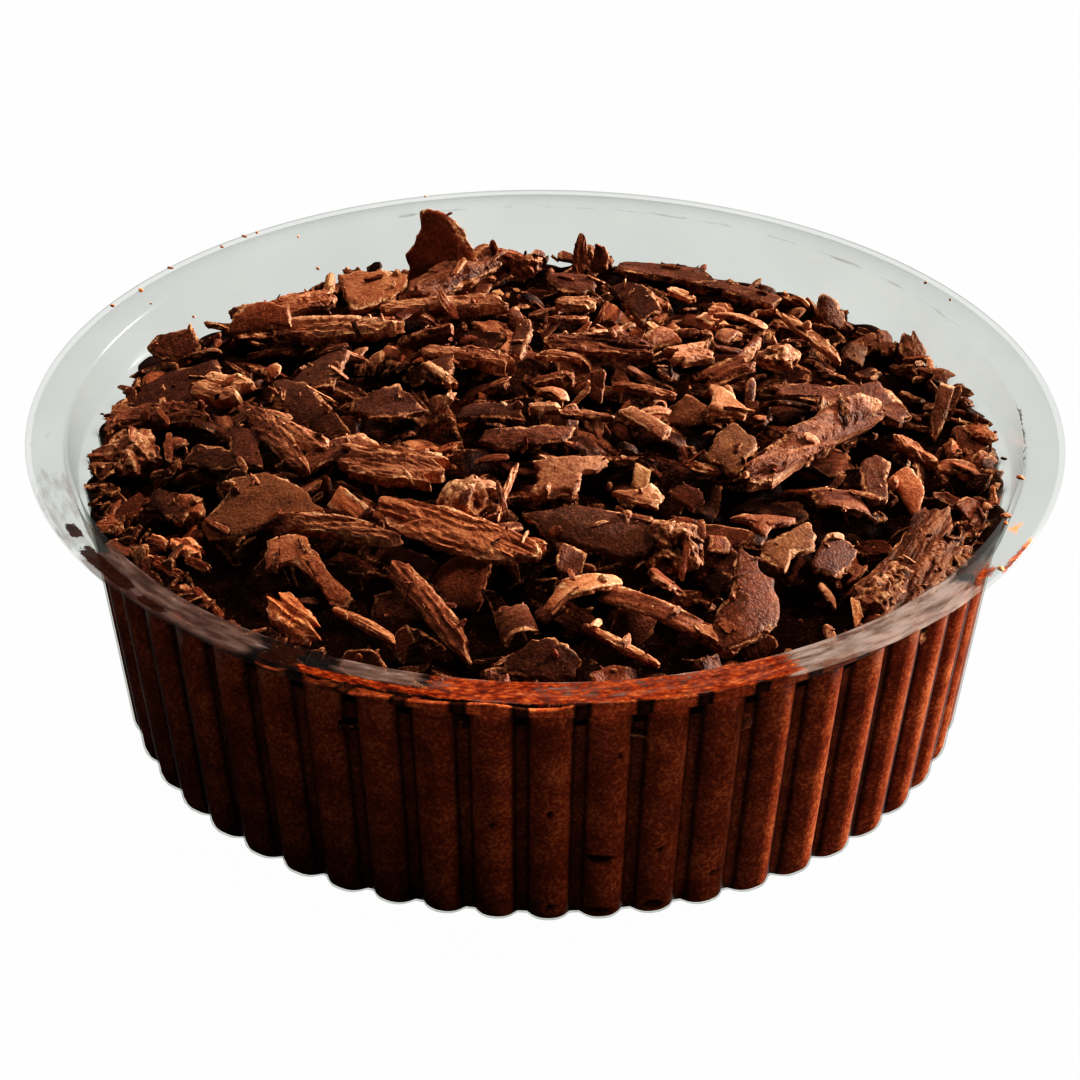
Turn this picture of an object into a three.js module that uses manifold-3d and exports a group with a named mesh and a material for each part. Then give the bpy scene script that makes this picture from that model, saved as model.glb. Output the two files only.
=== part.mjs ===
// A chocolate mousse in its clear fluted plastic tub, heaped with chocolate flakes.
// Millimetres, +Z up. The origin is the middle of the tub's underside and -Y is the front.

import * as THREE from 'three';
import { mergeVertices } from 'three/addons/utils/BufferGeometryUtils.js';
import Module from 'manifold-3d';

const wasm = await Module();
wasm.setup();

// ---------------------------------------------------------------- driving dimensions

const CUP_HEIGHT = 36.5;
const RIM_RADIUS = 60;
const FLANGE_WIDTH = 4.8;
const LIP_DROP = 1.3;
const LIP_BEVEL = 0.4;
const WALL = 0.6;
const GAP = 0.3; // air between pieces that touch

const COLLAR_DEPTH = 5.3; // the smooth band under the rim
const COLLAR_FOOT_RADIUS = 54.4;
const LEDGE_DROP = 0.4; // the small step from the collar to the flutes

const FLUTE_COUNT = 50;
const FLUTE_DEPTH = 1.1;
const FLUTE_PHASE = -89.0; // degrees: where one column's middle stands
const COLUMN_TOP_HALF_ANGLE = 2.08; // degrees, across a column's rounded face
const COLUMN_FOOT_HALF_ANGLE = 2.75; // degrees, where its shoulders meet the recess
const SHOULDER_DROP = 0.2;
const CREST_RADIUS_TOP = 53.5;
const CREST_RADIUS_BASE = 48.7;

const FOOT_ROUNDING = 1.6;
const FOOT_BEVEL = 0.48; // the lower of the two bevels that round the foot
const INNER_BEVEL_RISE = 0.8; // how much of its inset a surface inside the tub stands higher there
const FLOOR_RADIUS = 46.6;
const ROUND_SAMPLES = 75; // sides of a ring that has no flutes

const MOUSSE_DEPTH = 7.6; // from the rim down to the mousse
const HEAP_CROWN = 2.5; // how far the heap's middle stands over the rim
const HEAP_FALL = 8.5; // from its middle to its edge
const HEAP_REACH = 53; // the radius at which it has fallen that far
const HEAP_POWER = 2.2;
const HEAP_LIMIT = 1.05; // in reaches from the middle: beyond that it falls no further
const CORE_RADIUS = 51.2;
const CORE_SIDES = 52;
const CORE_KERB = 0.6; // its upright edge
const CORE_SINK = 2.2; // how far the bare core lies under the flakes' level
const CORE_BUMP = 0.6;
const CORE_LEVELS = [[46, 48], [38, 40], [29, 30], [20, 20], [10, 10]]; // radius, sides
const ROOM_SLACK = 0.1; // how far flakes may reach beyond the core
const ROOM_HEIGHT = 15; // over the rim
const COLLAR_CLEARANCE = 0.6; // air between the flakes and the collar

const FLAKE_THICKNESS = { plate: 1.1, bark: 1.9, splinter: 1.3, curl: 1.0, crumb: 3.4 };
const FLAKE_STATIONS = { flat: 4, bent: 6 }; // sections along a flake
const BENT_ARC = 60; // degrees, from which a flake has the sections of a bent one
const FLAKE_TAPER = { blunt: 0.35, pointed: 0.75 }; // how much of its width an end loses
const TAPER_POWER = 3;
const END_THINNING = 0.25;
const RAGGED_EDGE = [0.8, 1.15]; // the range of its half width
const END_SLANT = 0.12; // of its length
const SMALL_FLAKE_COUNT = 54;
const SMALL_FLAKE_RANGE = [5.5, 9]; // their lengths
const SMALL_FLAKE_SHAPE = [0.35, 0.7]; // width over length
const SMALL_FLAKE_ARC = [5, 50];
const SMALL_POINTED_SHARE = 0.4;
const SMALL_PITCH = 12;
const SMALL_ROLL = 28;
const SMALL_LIFT = [-0.9, 0.1];
const DROP = 0.35; // the steps in which a flake is let down onto the heap
const MOST_DROPS = 9;
const RANDOM_SEED = 20;
const SAME_POINT = 1e-4; // points closer than this are one

// The large flakes: x, y, length, width, heading, pitch, roll, lift, arc, kind.
// Heading is the way the long axis points, in degrees from +X. Pitch raises the far end,
// roll raises the left edge, lift is above the heap's level and arc is the bend in degrees.
const LARGE_FLAKES = [
  // back left, with the one that stands up over the rim
  [-12.7, 39.5, 10.6, 8.6, 90, 78, 0, 4.4, 10, 'plate'],
  [-12, 38.5, 12, 5, 38, 10, 25, 0.8, 12, 'bark'],
  [-5.5, 43, 8, 3.6, 0, 0, 0, 1.6, 150, 'curl'],
  [-20.5, 37, 10, 7.5, 8, 0, 18, 0.8, 15, 'plate'],
  [-36, 29.5, 8.2, 6.5, 60, 12, 0, 0.8, 10, 'plate'],
  [-45, 27, 7.5, 5.5, 18, 0, 20, 0.6, 8, 'plate'],
  [-24.5, 25.5, 14, 5, -14, 0, 12, 0.6, 15, 'bark'],
  [-12.5, 29.5, 18, 3.2, -2, 0, 20, 0.8, 8, 'bark'],
  // back
  [3, 38, 7.5, 6.5, -15, 0, 10, 0.5, 12, 'plate'],
  [15, 44, 14, 8, -6, 0, 4, 0.7, 10, 'plate'],
  [24.5, 40, 10, 5, -24, 0, 10, 0.5, 10, 'plate'],
  [11, 31, 16, 4.5, -74, 0, 28, 0.6, 12, 'plate'],
  [5.7, 17, 14.5, 4.2, 0, 0, 25, 0.6, 6, 'bark'],
  [-9.2, 13, 13.5, 4, -22, 0, 10, 0.8, 20, 'bark'],
  [-3, 17.5, 12.5, 3.2, 80, 5, -28, 0.6, 12, 'plate'],
  // left
  [-43, 14.5, 12.5, 11.5, -8, 0, 5, 0.5, 8, 'plate'],
  [-38, 10.5, 9, 4.5, -40, 0, 18, 1.1, 10, 'bark'],
  [-26.7, 12, 9.5, 8, 80, 0, -12, 0.5, 12, 'plate'],
  [-27.3, 2.3, 15, 6, -50, 0, 15, 0.7, 10, 'plate'],
  [-46, 8, 15, 4.2, -12, 0, 8, 0.8, 6, 'bark'],
  [-48, 0.5, 6.5, 6, 30, 0, 0, 0.6, 10, 'crumb'],
  [-38, -5, 9, 5, -35, 0, 10, 0.3, 10, 'plate'],
  [-31.3, -2.5, 18, 3.5, -64, 0, 22, 1.0, 14, 'bark'],
  [-31.8, -17, 14, 9.5, -4, 0, 6, 0.8, 10, 'plate'],
  [-42.5, -12.5, 8, 4.5, -40, 0, 5, 0.2, 10, 'plate'],
  // middle
  [-23.5, -7.5, 10.5, 4, 25, 0, 10, 0.5, 30, 'plate'],
  [-17.8, 0.5, 9.5, 7, 35, 0, 10, 0.8, 10, 'plate'],
  [-17, -12, 13, 6, -20, 0, 10, 0.7, 10, 'bark'],
  [-6, -0.5, 8.5, 4.5, -3, 0, 0, 0.2, 10, 'plate'],
  [-2, -6.5, 13.5, 4.5, 6, 0, 14, 0.4, 12, 'plate'],
  [2.5, -14, 10.5, 5.5, 8, 0, 14, 0.6, 12, 'plate'],
  [11.2, -19.2, 7, 4, -8, 0, 10, 1.0, 10, 'plate'],
  [-8.3, -19.5, 6, 5.5, 20, 0, 0, 0.7, 10, 'crumb'],
  [-9, -25.3, 22.5, 5.5, -32, 0, 12, 1.2, 8, 'bark'],
  [5, -25.8, 16.5, 6.5, -12, 0, 10, 0.8, 10, 'plate'],
  [14.5, -25.5, 7.5, 6.5, -15, 0, 0, 0.4, 10, 'crumb'],
  // front
  [4.3, -36, 11, 3, 28, 0, 0, 1.8, 70, 'curl'],
  [12, -38, 14, 3.5, -22, 0, 12, 1.2, 45, 'curl'],
  [8.3, -43.2, 12, 1.5, -33, 0, 0, 0.6, 8, 'splinter'],
  [-0.5, -45.5, 8.5, 6, 0, 0, 12, 0.8, 15, 'plate'],
  [-12.5, -37.5, 18, 3.2, -58, 0, 22, 0.9, 22, 'bark'],
  [-26.8, -27.6, 15, 6, -48, 0, 10, 0.8, 35, 'plate'],
  [-23, -23.3, 16, 3, -24, 0, 14, 1.2, 10, 'bark'],
  [-27.3, -36.2, 9.5, 6, -50, 0, 14, 0.5, 10, 'bark'],
  [-19.5, -39.5, 10.5, 1.6, -40, 0, 0, 0.6, 8, 'splinter'],
  // right
  [31.8, 25, 14.5, 2.3, -62, 0, 15, 0.8, 6, 'splinter'],
  [37, 24, 8, 3.5, 75, 0, 12, 0.3, 12, 'plate'],
  [34.5, 34, 4.6, 4.2, 110, 60, 0, 1.6, 20, 'plate'],
  [23.5, 28, 8, 2.6, -25, 0, 0, 0.8, 45, 'curl'],
  [35.3, 8.5, 16.5, 6.5, -12, 0, 8, 0.7, 8, 'plate'],
  [30.3, -6.5, 20, 6.5, 33, 0, 10, 1.2, 10, 'bark'],
  [21.3, -7.5, 8.5, 7.5, -25, 0, 8, 0.8, 10, 'plate'],
  [21, 3, 7.5, 5, -48, 0, 8, 0.9, 10, 'plate'],
  [41.5, -7.2, 8, 4.6, -58, 0, 8, 1.0, 6, 'plate'],
  [41, -24, 25, 10, 70, 0, -5, 0.9, 8, 'bark'],
  [27.3, -25, 10, 5.5, 62, 0, -6, 1.0, 12, 'plate'],
  [22.4, -36, 14, 7.5, 90, 8, 0, 1.3, 8, 'plate'],
  [33.5, -14, 8, 5, 5, 0, 0, 0.3, 50, 'curl'],
  [34, -25, 9, 6, 55, 0, 10, 0, 12, 'plate'],
  [46.3, 9.5, 7.5, 2.6, 85, 48, 0, 1.6, 10, 'plate'],
  [48.5, -1.5, 6.5, 3, 10, 0, 0, 0.6, 60, 'curl'],
];

// ---------------------------------------------------------------- small helpers

const radians = THREE.MathUtils.degToRad;

// A repeatable random number source, from 0 to 1.
function seededRandom(seed) {
  let state = seed;
  return () => {
    state = (state + 0x6d2b79f5) | 0;
    let mixed = Math.imul(state ^ (state >>> 15), 1 | state);
    mixed = (mixed + Math.imul(mixed ^ (mixed >>> 7), 61 | mixed)) ^ mixed;
    return ((mixed ^ (mixed >>> 14)) >>> 0) / 2 ** 32;
  };
}

const random = seededRandom(RANDOM_SEED);

function between(low, high) {
  return low + (high - low) * random();
}

// A ring of points round the Z axis, its angles rising in degrees from `samples`.
function ring(z, samples) {
  return samples.map(({ angle, radius }) => ({
    angle,
    point: new THREE.Vector3(
      radius * Math.cos(radians(angle)),
      radius * Math.sin(radians(angle)),
      z,
    ),
  }));
}

function roundRing(z, radius, count = ROUND_SAMPLES) {
  const step = 360 / count;
  const first = FLUTE_PHASE - 180 / FLUTE_COUNT;
  return ring(z, Array.from({ length: count }, (_, i) => ({ angle: first + i * step, radius })));
}

// The triangles between two rings, which may have different numbers of points.
function stitch(lower, upper, lowerStart, upperStart) {
  const triangles = [];
  let i = 0;
  let j = 0;
  const angleAt = (points, k) => points[k % points.length].angle + (k >= points.length ? 360 : 0);
  while (i < lower.length || j < upper.length) {
    const a = lowerStart + (i % lower.length);
    const b = upperStart + (j % upper.length);
    const lowerNext = i < lower.length ? angleAt(lower, i + 1) : Infinity;
    const upperNext = j < upper.length ? angleAt(upper, j + 1) : Infinity;
    if (lowerNext <= upperNext) {
      i += 1;
      triangles.push([a, lowerStart + (i % lower.length), b]);
    } else {
      j += 1;
      triangles.push([a, upperStart + (j % upper.length), b]);
    }
  }
  return triangles;
}

// A closed body whose skin runs from one point on the axis through the rings to another.
function bodyOfRings(startZ, rings, endZ) {
  const points = [];
  const triangles = [];
  const starts = rings.map((samples) => {
    const start = points.length;
    samples.forEach(({ point }) => points.push(point));
    return start;
  });
  for (let i = 0; i + 1 < rings.length; i += 1) {
    triangles.push(...stitch(rings[i], rings[i + 1], starts[i], starts[i + 1]));
  }
  const cap = (z, samples, start, turned) => {
    const pole = points.length;
    points.push(new THREE.Vector3(0, 0, z));
    samples.forEach((_, i) => {
      const a = start + i;
      const b = start + ((i + 1) % samples.length);
      triangles.push(turned ? [pole, b, a] : [pole, a, b]);
    });
  };
  const last = rings.length - 1;
  cap(startZ, rings[0], starts[0], true);
  cap(endZ, rings[last], starts[last], false);
  return geometryFrom(points, triangles);
}

function geometryFrom(points, triangles) {
  const geometry = new THREE.BufferGeometry();
  const positions = new Float32Array(points.flatMap((point) => point.toArray()));
  geometry.setAttribute('position', new THREE.BufferAttribute(positions, 3));
  geometry.setIndex(triangles.flat());
  return geometry;
}

function toManifold(geometry) {
  const merged = mergeVertices(geometry, SAME_POINT);
  return new wasm.Manifold(new wasm.Mesh({
    numProp: 3,
    vertProperties: merged.attributes.position.array,
    triVerts: new Uint32Array(merged.index.array),
  }));
}

function toGeometry(solid) {
  const mesh = solid.getMesh();
  const geometry = new THREE.BufferGeometry();
  geometry.setAttribute('position', new THREE.BufferAttribute(mesh.vertProperties, mesh.numProp));
  geometry.setIndex(new THREE.BufferAttribute(mesh.triVerts, 1));
  return geometry;
}

function namedMesh(name, geometry, look) {
  const flat = geometry.toNonIndexed();
  flat.computeVertexNormals();
  const mesh = new THREE.Mesh(flat, new THREE.MeshStandardMaterial(look));
  mesh.name = name;
  return mesh;
}

// ---------------------------------------------------------------- the fluted skin

function crestRadius(z) {
  const share = z / (CUP_HEIGHT - COLLAR_DEPTH);
  return THREE.MathUtils.lerp(CREST_RADIUS_BASE, CREST_RADIUS_TOP, share);
}

// One level of the flutes: every column has two feet, two shoulders and, if `crowned`, a crest.
function flutedRing(z, crest, inset, crowned) {
  const narrowing = THREE.MathUtils.radToDeg(inset / crest);
  const foot = COLUMN_FOOT_HALF_ANGLE - narrowing;
  const shoulder = COLUMN_TOP_HALF_ANGLE - narrowing;
  const column = [
    { angle: -foot, radius: crest - FLUTE_DEPTH },
    { angle: -shoulder, radius: crest - SHOULDER_DROP },
    ...(crowned ? [{ angle: 0, radius: crest }] : []),
    { angle: shoulder, radius: crest - SHOULDER_DROP },
    { angle: foot, radius: crest - FLUTE_DEPTH },
  ];
  const samples = [];
  for (let i = 0; i < FLUTE_COUNT; i += 1) {
    const middle = FLUTE_PHASE + (i * 360) / FLUTE_COUNT;
    column.forEach(({ angle, radius }) => samples.push({ angle: middle + angle, radius }));
  }
  return ring(z, samples);
}

// The tub's skin, or a surface inside it, from its floor up to `topZ` on the flutes.
function flutedSkin(inset, topZ, crowned) {
  const footZ = FOOT_BEVEL + inset * INNER_BEVEL_RISE;
  const wallZ = FOOT_ROUNDING + inset / 2;
  return [
    roundRing(inset, FLOOR_RADIUS - inset / 2),
    flutedRing(footZ, crestRadius(0) - FOOT_BEVEL - inset, inset, crowned),
    flutedRing(wallZ, crestRadius(wallZ) - inset, inset, crowned),
    flutedRing(topZ, crestRadius(topZ) - inset, inset, crowned),
  ];
}

// ---------------------------------------------------------------- the tub

function makeCup() {
  const collarFootZ = CUP_HEIGHT - COLLAR_DEPTH;
  const fluteTopZ = collarFootZ - LEDGE_DROP;
  const collarTopRadius = RIM_RADIUS - FLANGE_WIDTH;
  const undersideZ = CUP_HEIGHT - WALL;
  const lipZ = CUP_HEIGHT - LIP_DROP;
  const rings = [
    ...flutedSkin(0, fluteTopZ, true),
    roundRing(collarFootZ, COLLAR_FOOT_RADIUS),
    roundRing(undersideZ, collarTopRadius + WALL),
    roundRing(undersideZ, RIM_RADIUS - WALL),
    roundRing(lipZ, RIM_RADIUS - WALL),
    roundRing(lipZ, RIM_RADIUS),
    roundRing(CUP_HEIGHT - LIP_BEVEL, RIM_RADIUS),
    roundRing(CUP_HEIGHT, RIM_RADIUS - LIP_BEVEL),
    roundRing(CUP_HEIGHT, collarTopRadius),
    roundRing(collarFootZ + WALL / 2, COLLAR_FOOT_RADIUS - WALL),
    ...flutedSkin(WALL, fluteTopZ + WALL / 2, false).reverse(),
  ];
  return bodyOfRings(0, rings, WALL);
}

// ---------------------------------------------------------------- the mousse

function makeMousse() {
  const inset = WALL + GAP;
  const topZ = CUP_HEIGHT - MOUSSE_DEPTH;
  return bodyOfRings(inset, flutedSkin(inset, topZ, false), topZ);
}

// ---------------------------------------------------------------- the heap of flakes

function heapHeight(x, y) {
  const share = Math.min(Math.hypot(x, y) / HEAP_REACH, HEAP_LIMIT);
  return CUP_HEIGHT + HEAP_CROWN - HEAP_FALL * share ** HEAP_POWER;
}

// The bare heap under the flakes: a low bumpy dome that lies on the mousse.
function makeCore() {
  const bottomZ = CUP_HEIGHT - MOUSSE_DEPTH + GAP;
  const rings = [
    roundRing(bottomZ, CORE_RADIUS, CORE_SIDES),
    roundRing(bottomZ + CORE_KERB, CORE_RADIUS, CORE_SIDES),
  ];
  CORE_LEVELS.forEach(([radius, sides]) => {
    const level = roundRing(0, radius, sides);
    level.forEach(({ point }) => {
      point.z = heapHeight(point.x, point.y) - CORE_SINK + between(-CORE_BUMP, CORE_BUMP);
    });
    rings.push(level);
  });
  return toManifold(bodyOfRings(bottomZ, rings, heapHeight(0, 0) - CORE_SINK));
}

// The space that flakes may fill: clear of the mousse, the flutes, the collar and the flange.
function makeRoom() {
  const floorZ = CUP_HEIGHT - MOUSSE_DEPTH + GAP;
  const ledgeZ = CUP_HEIGHT - COLLAR_DEPTH + WALL + GAP;
  const topZ = CUP_HEIGHT + ROOM_HEIGHT;
  const lowRadius = CORE_RADIUS + ROOM_SLACK;
  const ledgeRadius = COLLAR_FOOT_RADIUS - WALL - COLLAR_CLEARANCE;
  const topRadius = RIM_RADIUS - FLANGE_WIDTH - COLLAR_CLEARANCE;
  return toManifold(bodyOfRings(floorZ, [
    roundRing(floorZ, lowRadius, CORE_SIDES),
    roundRing(ledgeZ, lowRadius, CORE_SIDES),
    roundRing(ledgeZ, ledgeRadius, CORE_SIDES),
    roundRing(CUP_HEIGHT, topRadius, CORE_SIDES),
    roundRing(topZ, topRadius, CORE_SIDES),
  ], topZ));
}

// A flake about its own middle: a bent strip with a ragged outline, long axis along +X.
function flakeGeometry(length, width, thickness, arc, pointed) {
  const stations = arc > BENT_ARC ? FLAKE_STATIONS.bent : FLAKE_STATIONS.flat;
  const loss = pointed ? FLAKE_TAPER.pointed : FLAKE_TAPER.blunt;
  const points = [];
  const bend = radians(Math.max(arc, 1));
  const bendRadius = length / bend;
  for (let i = 0; i < stations; i += 1) {
    const along = i / (stations - 1) - 0.5;
    const taper = 1 - loss * Math.abs(2 * along) ** TAPER_POWER;
    const halfThickness = (thickness / 2) * (1 - END_THINNING * (1 - taper));
    [-1, 1].forEach((side) => {
      const reach = (width / 2) * taper * between(...RAGGED_EDGE) * side;
      const slant = Math.abs(along) === 0.5 ? between(-END_SLANT, END_SLANT) * length : 0;
      const turn = bend * along;
      [-halfThickness, halfThickness].forEach((layer) => {
        points.push(new THREE.Vector3(
          (bendRadius + layer) * Math.sin(turn) + slant,
          reach,
          (bendRadius + layer) * Math.cos(turn) - bendRadius,
        ));
      });
    });
  }
  // Each station holds, in order, right below, right above, left below and left above.
  const loop = [0, 2, 3, 1];
  const triangles = [[0, 3, 2], [0, 1, 3]];
  for (let i = 0; i + 1 < stations; i += 1) {
    loop.forEach((from, k) => {
      const to = loop[(k + 1) % 4];
      const near = i * 4;
      const far = near + 4;
      triangles.push([near + from, near + to, far + to], [near + from, far + to, far + from]);
    });
  }
  const end = (stations - 1) * 4;
  triangles.push([end, end + 2, end + 3], [end, end + 3, end + 1]);
  return geometryFrom(points, triangles);
}

// Lays a flake on the heap: its own tilt first, then the slope of the heap where it lies.
function placeFlake(geometry, x, y, heading, pitch, roll, lift) {
  const step = 0.5;
  const slopeX = (heapHeight(x + step, y) - heapHeight(x - step, y)) / (2 * step);
  const slopeY = (heapHeight(x, y + step) - heapHeight(x, y - step)) / (2 * step);
  const up = new THREE.Vector3(0, 0, 1);
  const normal = new THREE.Vector3(-slopeX, -slopeY, 1).normalize();
  const lean = new THREE.Quaternion().setFromUnitVectors(up, normal);
  const turn = new THREE.Quaternion().setFromEuler(
    new THREE.Euler(radians(roll), radians(-pitch), radians(heading), 'ZYX'),
  );
  const place = new THREE.Matrix4().compose(
    new THREE.Vector3(x, y, heapHeight(x, y) + lift),
    lean.multiply(turn),
    new THREE.Vector3(1, 1, 1),
  );
  return geometry.applyMatrix4(place);
}

function largeFlakes() {
  return LARGE_FLAKES.map(([x, y, length, width, heading, pitch, roll, lift, arc, kind]) => {
    const thickness = FLAKE_THICKNESS[kind];
    const shape = flakeGeometry(length, width, thickness, arc, kind === 'splinter');
    return placeFlake(shape, x, y, heading, pitch, roll, lift - thickness / 2);
  });
}

// Small flakes between the large ones, spread evenly along a sunflower spiral.
function smallFlakes() {
  const goldenAngle = Math.PI * (3 - Math.sqrt(5));
  const flakes = [];
  for (let i = 0; i < SMALL_FLAKE_COUNT; i += 1) {
    const radius = (CORE_RADIUS - 1) * Math.sqrt((i + 0.5) / SMALL_FLAKE_COUNT);
    const angle = i * goldenAngle;
    const length = between(...SMALL_FLAKE_RANGE);
    const shape = flakeGeometry(
      length,
      length * between(...SMALL_FLAKE_SHAPE),
      FLAKE_THICKNESS.plate,
      between(...SMALL_FLAKE_ARC),
      random() < SMALL_POINTED_SHARE,
    );
    flakes.push(placeFlake(
      shape,
      radius * Math.cos(angle),
      radius * Math.sin(angle),
      between(0, 360),
      between(-SMALL_PITCH, SMALL_PITCH),
      between(-SMALL_ROLL, SMALL_ROLL),
      between(...SMALL_LIFT),
    ));
  }
  return flakes;
}

// Keeps the outermost shell of a solid, which fills its sealed hollows and drops loose scraps.
function largestShell(geometry) {
  const index = geometry.index.array;
  const positions = geometry.attributes.position;
  const parent = Array.from({ length: positions.count }, (_, i) => i);
  const rootOf = (i) => {
    let at = i;
    while (parent[at] !== at) {
      parent[at] = parent[parent[at]];
      at = parent[at];
    }
    return at;
  };
  for (let t = 0; t < index.length; t += 3) {
    parent[rootOf(index[t])] = rootOf(index[t + 1]);
    parent[rootOf(index[t + 1])] = rootOf(index[t + 2]);
  }
  const shells = new Map();
  for (let t = 0; t < index.length; t += 3) {
    const root = rootOf(index[t]);
    if (!shells.has(root)) {
      shells.set(root, []);
    }
    shells.get(root).push(index[t], index[t + 1], index[t + 2]);
  }
  const largest = [...shells.values()].reduce((a, b) => (b.length > a.length ? b : a));
  const kept = new THREE.BufferGeometry();
  kept.setAttribute('position', positions);
  kept.setIndex(largest);
  return kept;
}

// Lets a flake down until it bites into what lies under it.
function restOn(heap, geometry) {
  let flake = toManifold(geometry);
  let drops = 0;
  while (drops < MOST_DROPS && heap.intersect(flake).isEmpty()) {
    flake = toManifold(geometry.translate(0, 0, -DROP));
    drops += 1;
  }
  return drops > 0 ? toManifold(geometry.translate(0, 0, -DROP)) : flake;
}

function makeHeap() {
  let heap = makeCore();
  [...smallFlakes(), ...largeFlakes()].forEach((flake) => {
    heap = heap.add(restOn(heap, flake));
  });
  return largestShell(toGeometry(heap.intersect(makeRoom())));
}

// ---------------------------------------------------------------- the whole

const dessert = new THREE.Group();
dessert.add(
  namedMesh('cup', makeCup(), {
    color: 0xdfe4df,
    roughness: 0.12,
    metalness: 0,
    transparent: true,
    opacity: 0.35,
  }),
  namedMesh('mousse', makeMousse(), { color: 0x4a1d0e, roughness: 0.7, metalness: 0 }),
  namedMesh('chocolate_flakes', makeHeap(), { color: 0x40261c, roughness: 0.6, metalness: 0 }),
);

export default dessert;
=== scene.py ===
"""A chocolate mousse in its clear fluted tub, heaped with broken chocolate.

Lengths are millimetres until a mesh is made, which turns them into metres. +Z is up, -Y is the front.
Angles round the tub are in degrees from +X.
"""

import math

import bmesh
import bpy
import numpy as np
from mathutils import Euler, Matrix, Vector


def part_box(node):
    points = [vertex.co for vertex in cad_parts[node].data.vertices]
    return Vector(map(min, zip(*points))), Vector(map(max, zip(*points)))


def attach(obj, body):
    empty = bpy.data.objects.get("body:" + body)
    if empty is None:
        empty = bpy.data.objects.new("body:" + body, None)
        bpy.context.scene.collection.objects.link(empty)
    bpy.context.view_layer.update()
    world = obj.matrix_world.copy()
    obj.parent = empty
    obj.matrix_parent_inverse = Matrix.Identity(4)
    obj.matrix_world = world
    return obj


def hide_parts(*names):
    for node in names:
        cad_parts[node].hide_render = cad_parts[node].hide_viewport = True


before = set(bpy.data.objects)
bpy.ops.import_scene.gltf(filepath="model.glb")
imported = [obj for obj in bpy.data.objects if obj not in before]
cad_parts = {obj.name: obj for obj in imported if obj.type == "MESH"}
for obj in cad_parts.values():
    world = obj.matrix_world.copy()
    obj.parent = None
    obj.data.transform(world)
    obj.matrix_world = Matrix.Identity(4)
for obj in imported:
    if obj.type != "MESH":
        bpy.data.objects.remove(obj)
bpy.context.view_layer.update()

# ---------------------------------------------------------------- driving dimensions

MM = 0.001
CUP_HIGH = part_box("cup")[1]
RIM_Z = CUP_HIGH.z / MM
RIM_RADIUS = CUP_HIGH.x / MM
FLANGE_WIDTH = 4.8
COLLAR_TOP_RADIUS = RIM_RADIUS - FLANGE_WIDTH
LIP_DROP = 1.3
WALL = 0.45
COLLAR_DEPTH = 5.3
LEDGE_Z = RIM_Z - COLLAR_DEPTH  # where the fluted wall steps out to the collar
COLLAR_FOOT_RADIUS = 54.4
LEDGE_DROP = 0.4
FLUTE_COUNT = 50
FLUTE_DEPTH = 1.45
COLUMN_CROWN = 1.05
COLUMN_POWER = 2.5
FLUTE_PHASE = -89.0
COLUMN_EDGE = 2.55  # degrees from a column's middle to where its groove begins
COLUMN_EDGE_SOFTNESS = 0.1
GROOVE_EDGE = 3.02
CREST_RADIUS_TOP = 53.5
CREST_RADIUS_BASE = 48.7
FOOT_ROUNDING = 2.0
MOUSSE_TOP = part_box("mousse")[1].z / MM
HEAP_CROWN = 2.5
HEAP_FALL = 8.5
HEAP_REACH = 53
HEAP_POWER = 2.2
HEAP_LIMIT = 1.05  # in reaches from the middle: beyond that it falls no further

# ---------------------------------------------------------------- noise

HASH_FACTORS = (0x9E3779B1, 0x85EBCA77, 0xC2B2AE3D)  # for the three axes
HASH_ROUNDS = ((15, 0x2C1B3C6D), (12, 0x297A2D39))  # shift and factor
HASH_LAST_SHIFT = 15
SEED_FACTOR, SEED_START = 7919, 17
LAST_32_BITS = 0xFFFFFFFF
OCTAVE_STEP = 2.03


def lattice(ix, iy, iz, seed):
    """Repeatable random numbers from 0 to 1 on points with whole coordinates."""
    with np.errstate(over="ignore"):
        mixed = np.uint32(0)
        for steps, factor in zip((ix, iy, iz), HASH_FACTORS):
            mixed = mixed ^ steps.astype(np.uint32) * np.uint32(factor)
        mixed += np.uint32(seed * SEED_FACTOR + SEED_START & LAST_32_BITS)
        for shift, factor in HASH_ROUNDS:
            mixed ^= mixed >> np.uint32(shift)
            mixed *= np.uint32(factor)
        mixed ^= mixed >> np.uint32(HASH_LAST_SHIFT)
    return mixed / 2.0**32


def noise(x, y, z, seed, angular=False):
    """Smooth noise from 0 to 1 with features about 1 across, or angular noise with creases."""
    x, y, z = np.broadcast_arrays(x, y, z)
    cells = [np.floor(a).astype(np.int64) for a in (x, y, z)]
    shares = [a - c for a, c in zip((x, y, z), cells)]
    if not angular:
        shares = [s * s * (3 - 2 * s) for s in shares]
    total = np.zeros(x.shape)
    for corner in range(8):
        steps = [(corner >> axis) & 1 for axis in range(3)]
        weight = np.ones(x.shape)
        for share, step in zip(shares, steps):
            weight = weight * (share if step else 1 - share)
        total += weight * lattice(*(c + s for c, s in zip(cells, steps)), seed)
    return total


def flat_noise(x, y, size, level, seed, angular=True):
    """A slice of the noise with features `size` across."""
    return noise(x / size, y / size, level, seed, angular)


def layered(x, y, z, seed, octaves=3):
    """Noise with finer noise on it, from 0 to 1."""
    total = 0.0
    weight = 0.0
    for octave in range(octaves):
        scale = OCTAVE_STEP**octave
        total = total + noise(x * scale, y * scale, z * scale, seed + octave) / scale
        weight += 1 / scale
    return total / weight


def smoothstep(low, high, value):
    share = np.clip((value - low) / (high - low), 0, 1)
    return share * share * (3 - 2 * share)


def angle_gap(angles, middle):
    """The angle from `middle`, from -180 to 180 degrees."""
    return (angles - middle + 180) % 360 - 180


# ---------------------------------------------------------------- meshes


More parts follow.
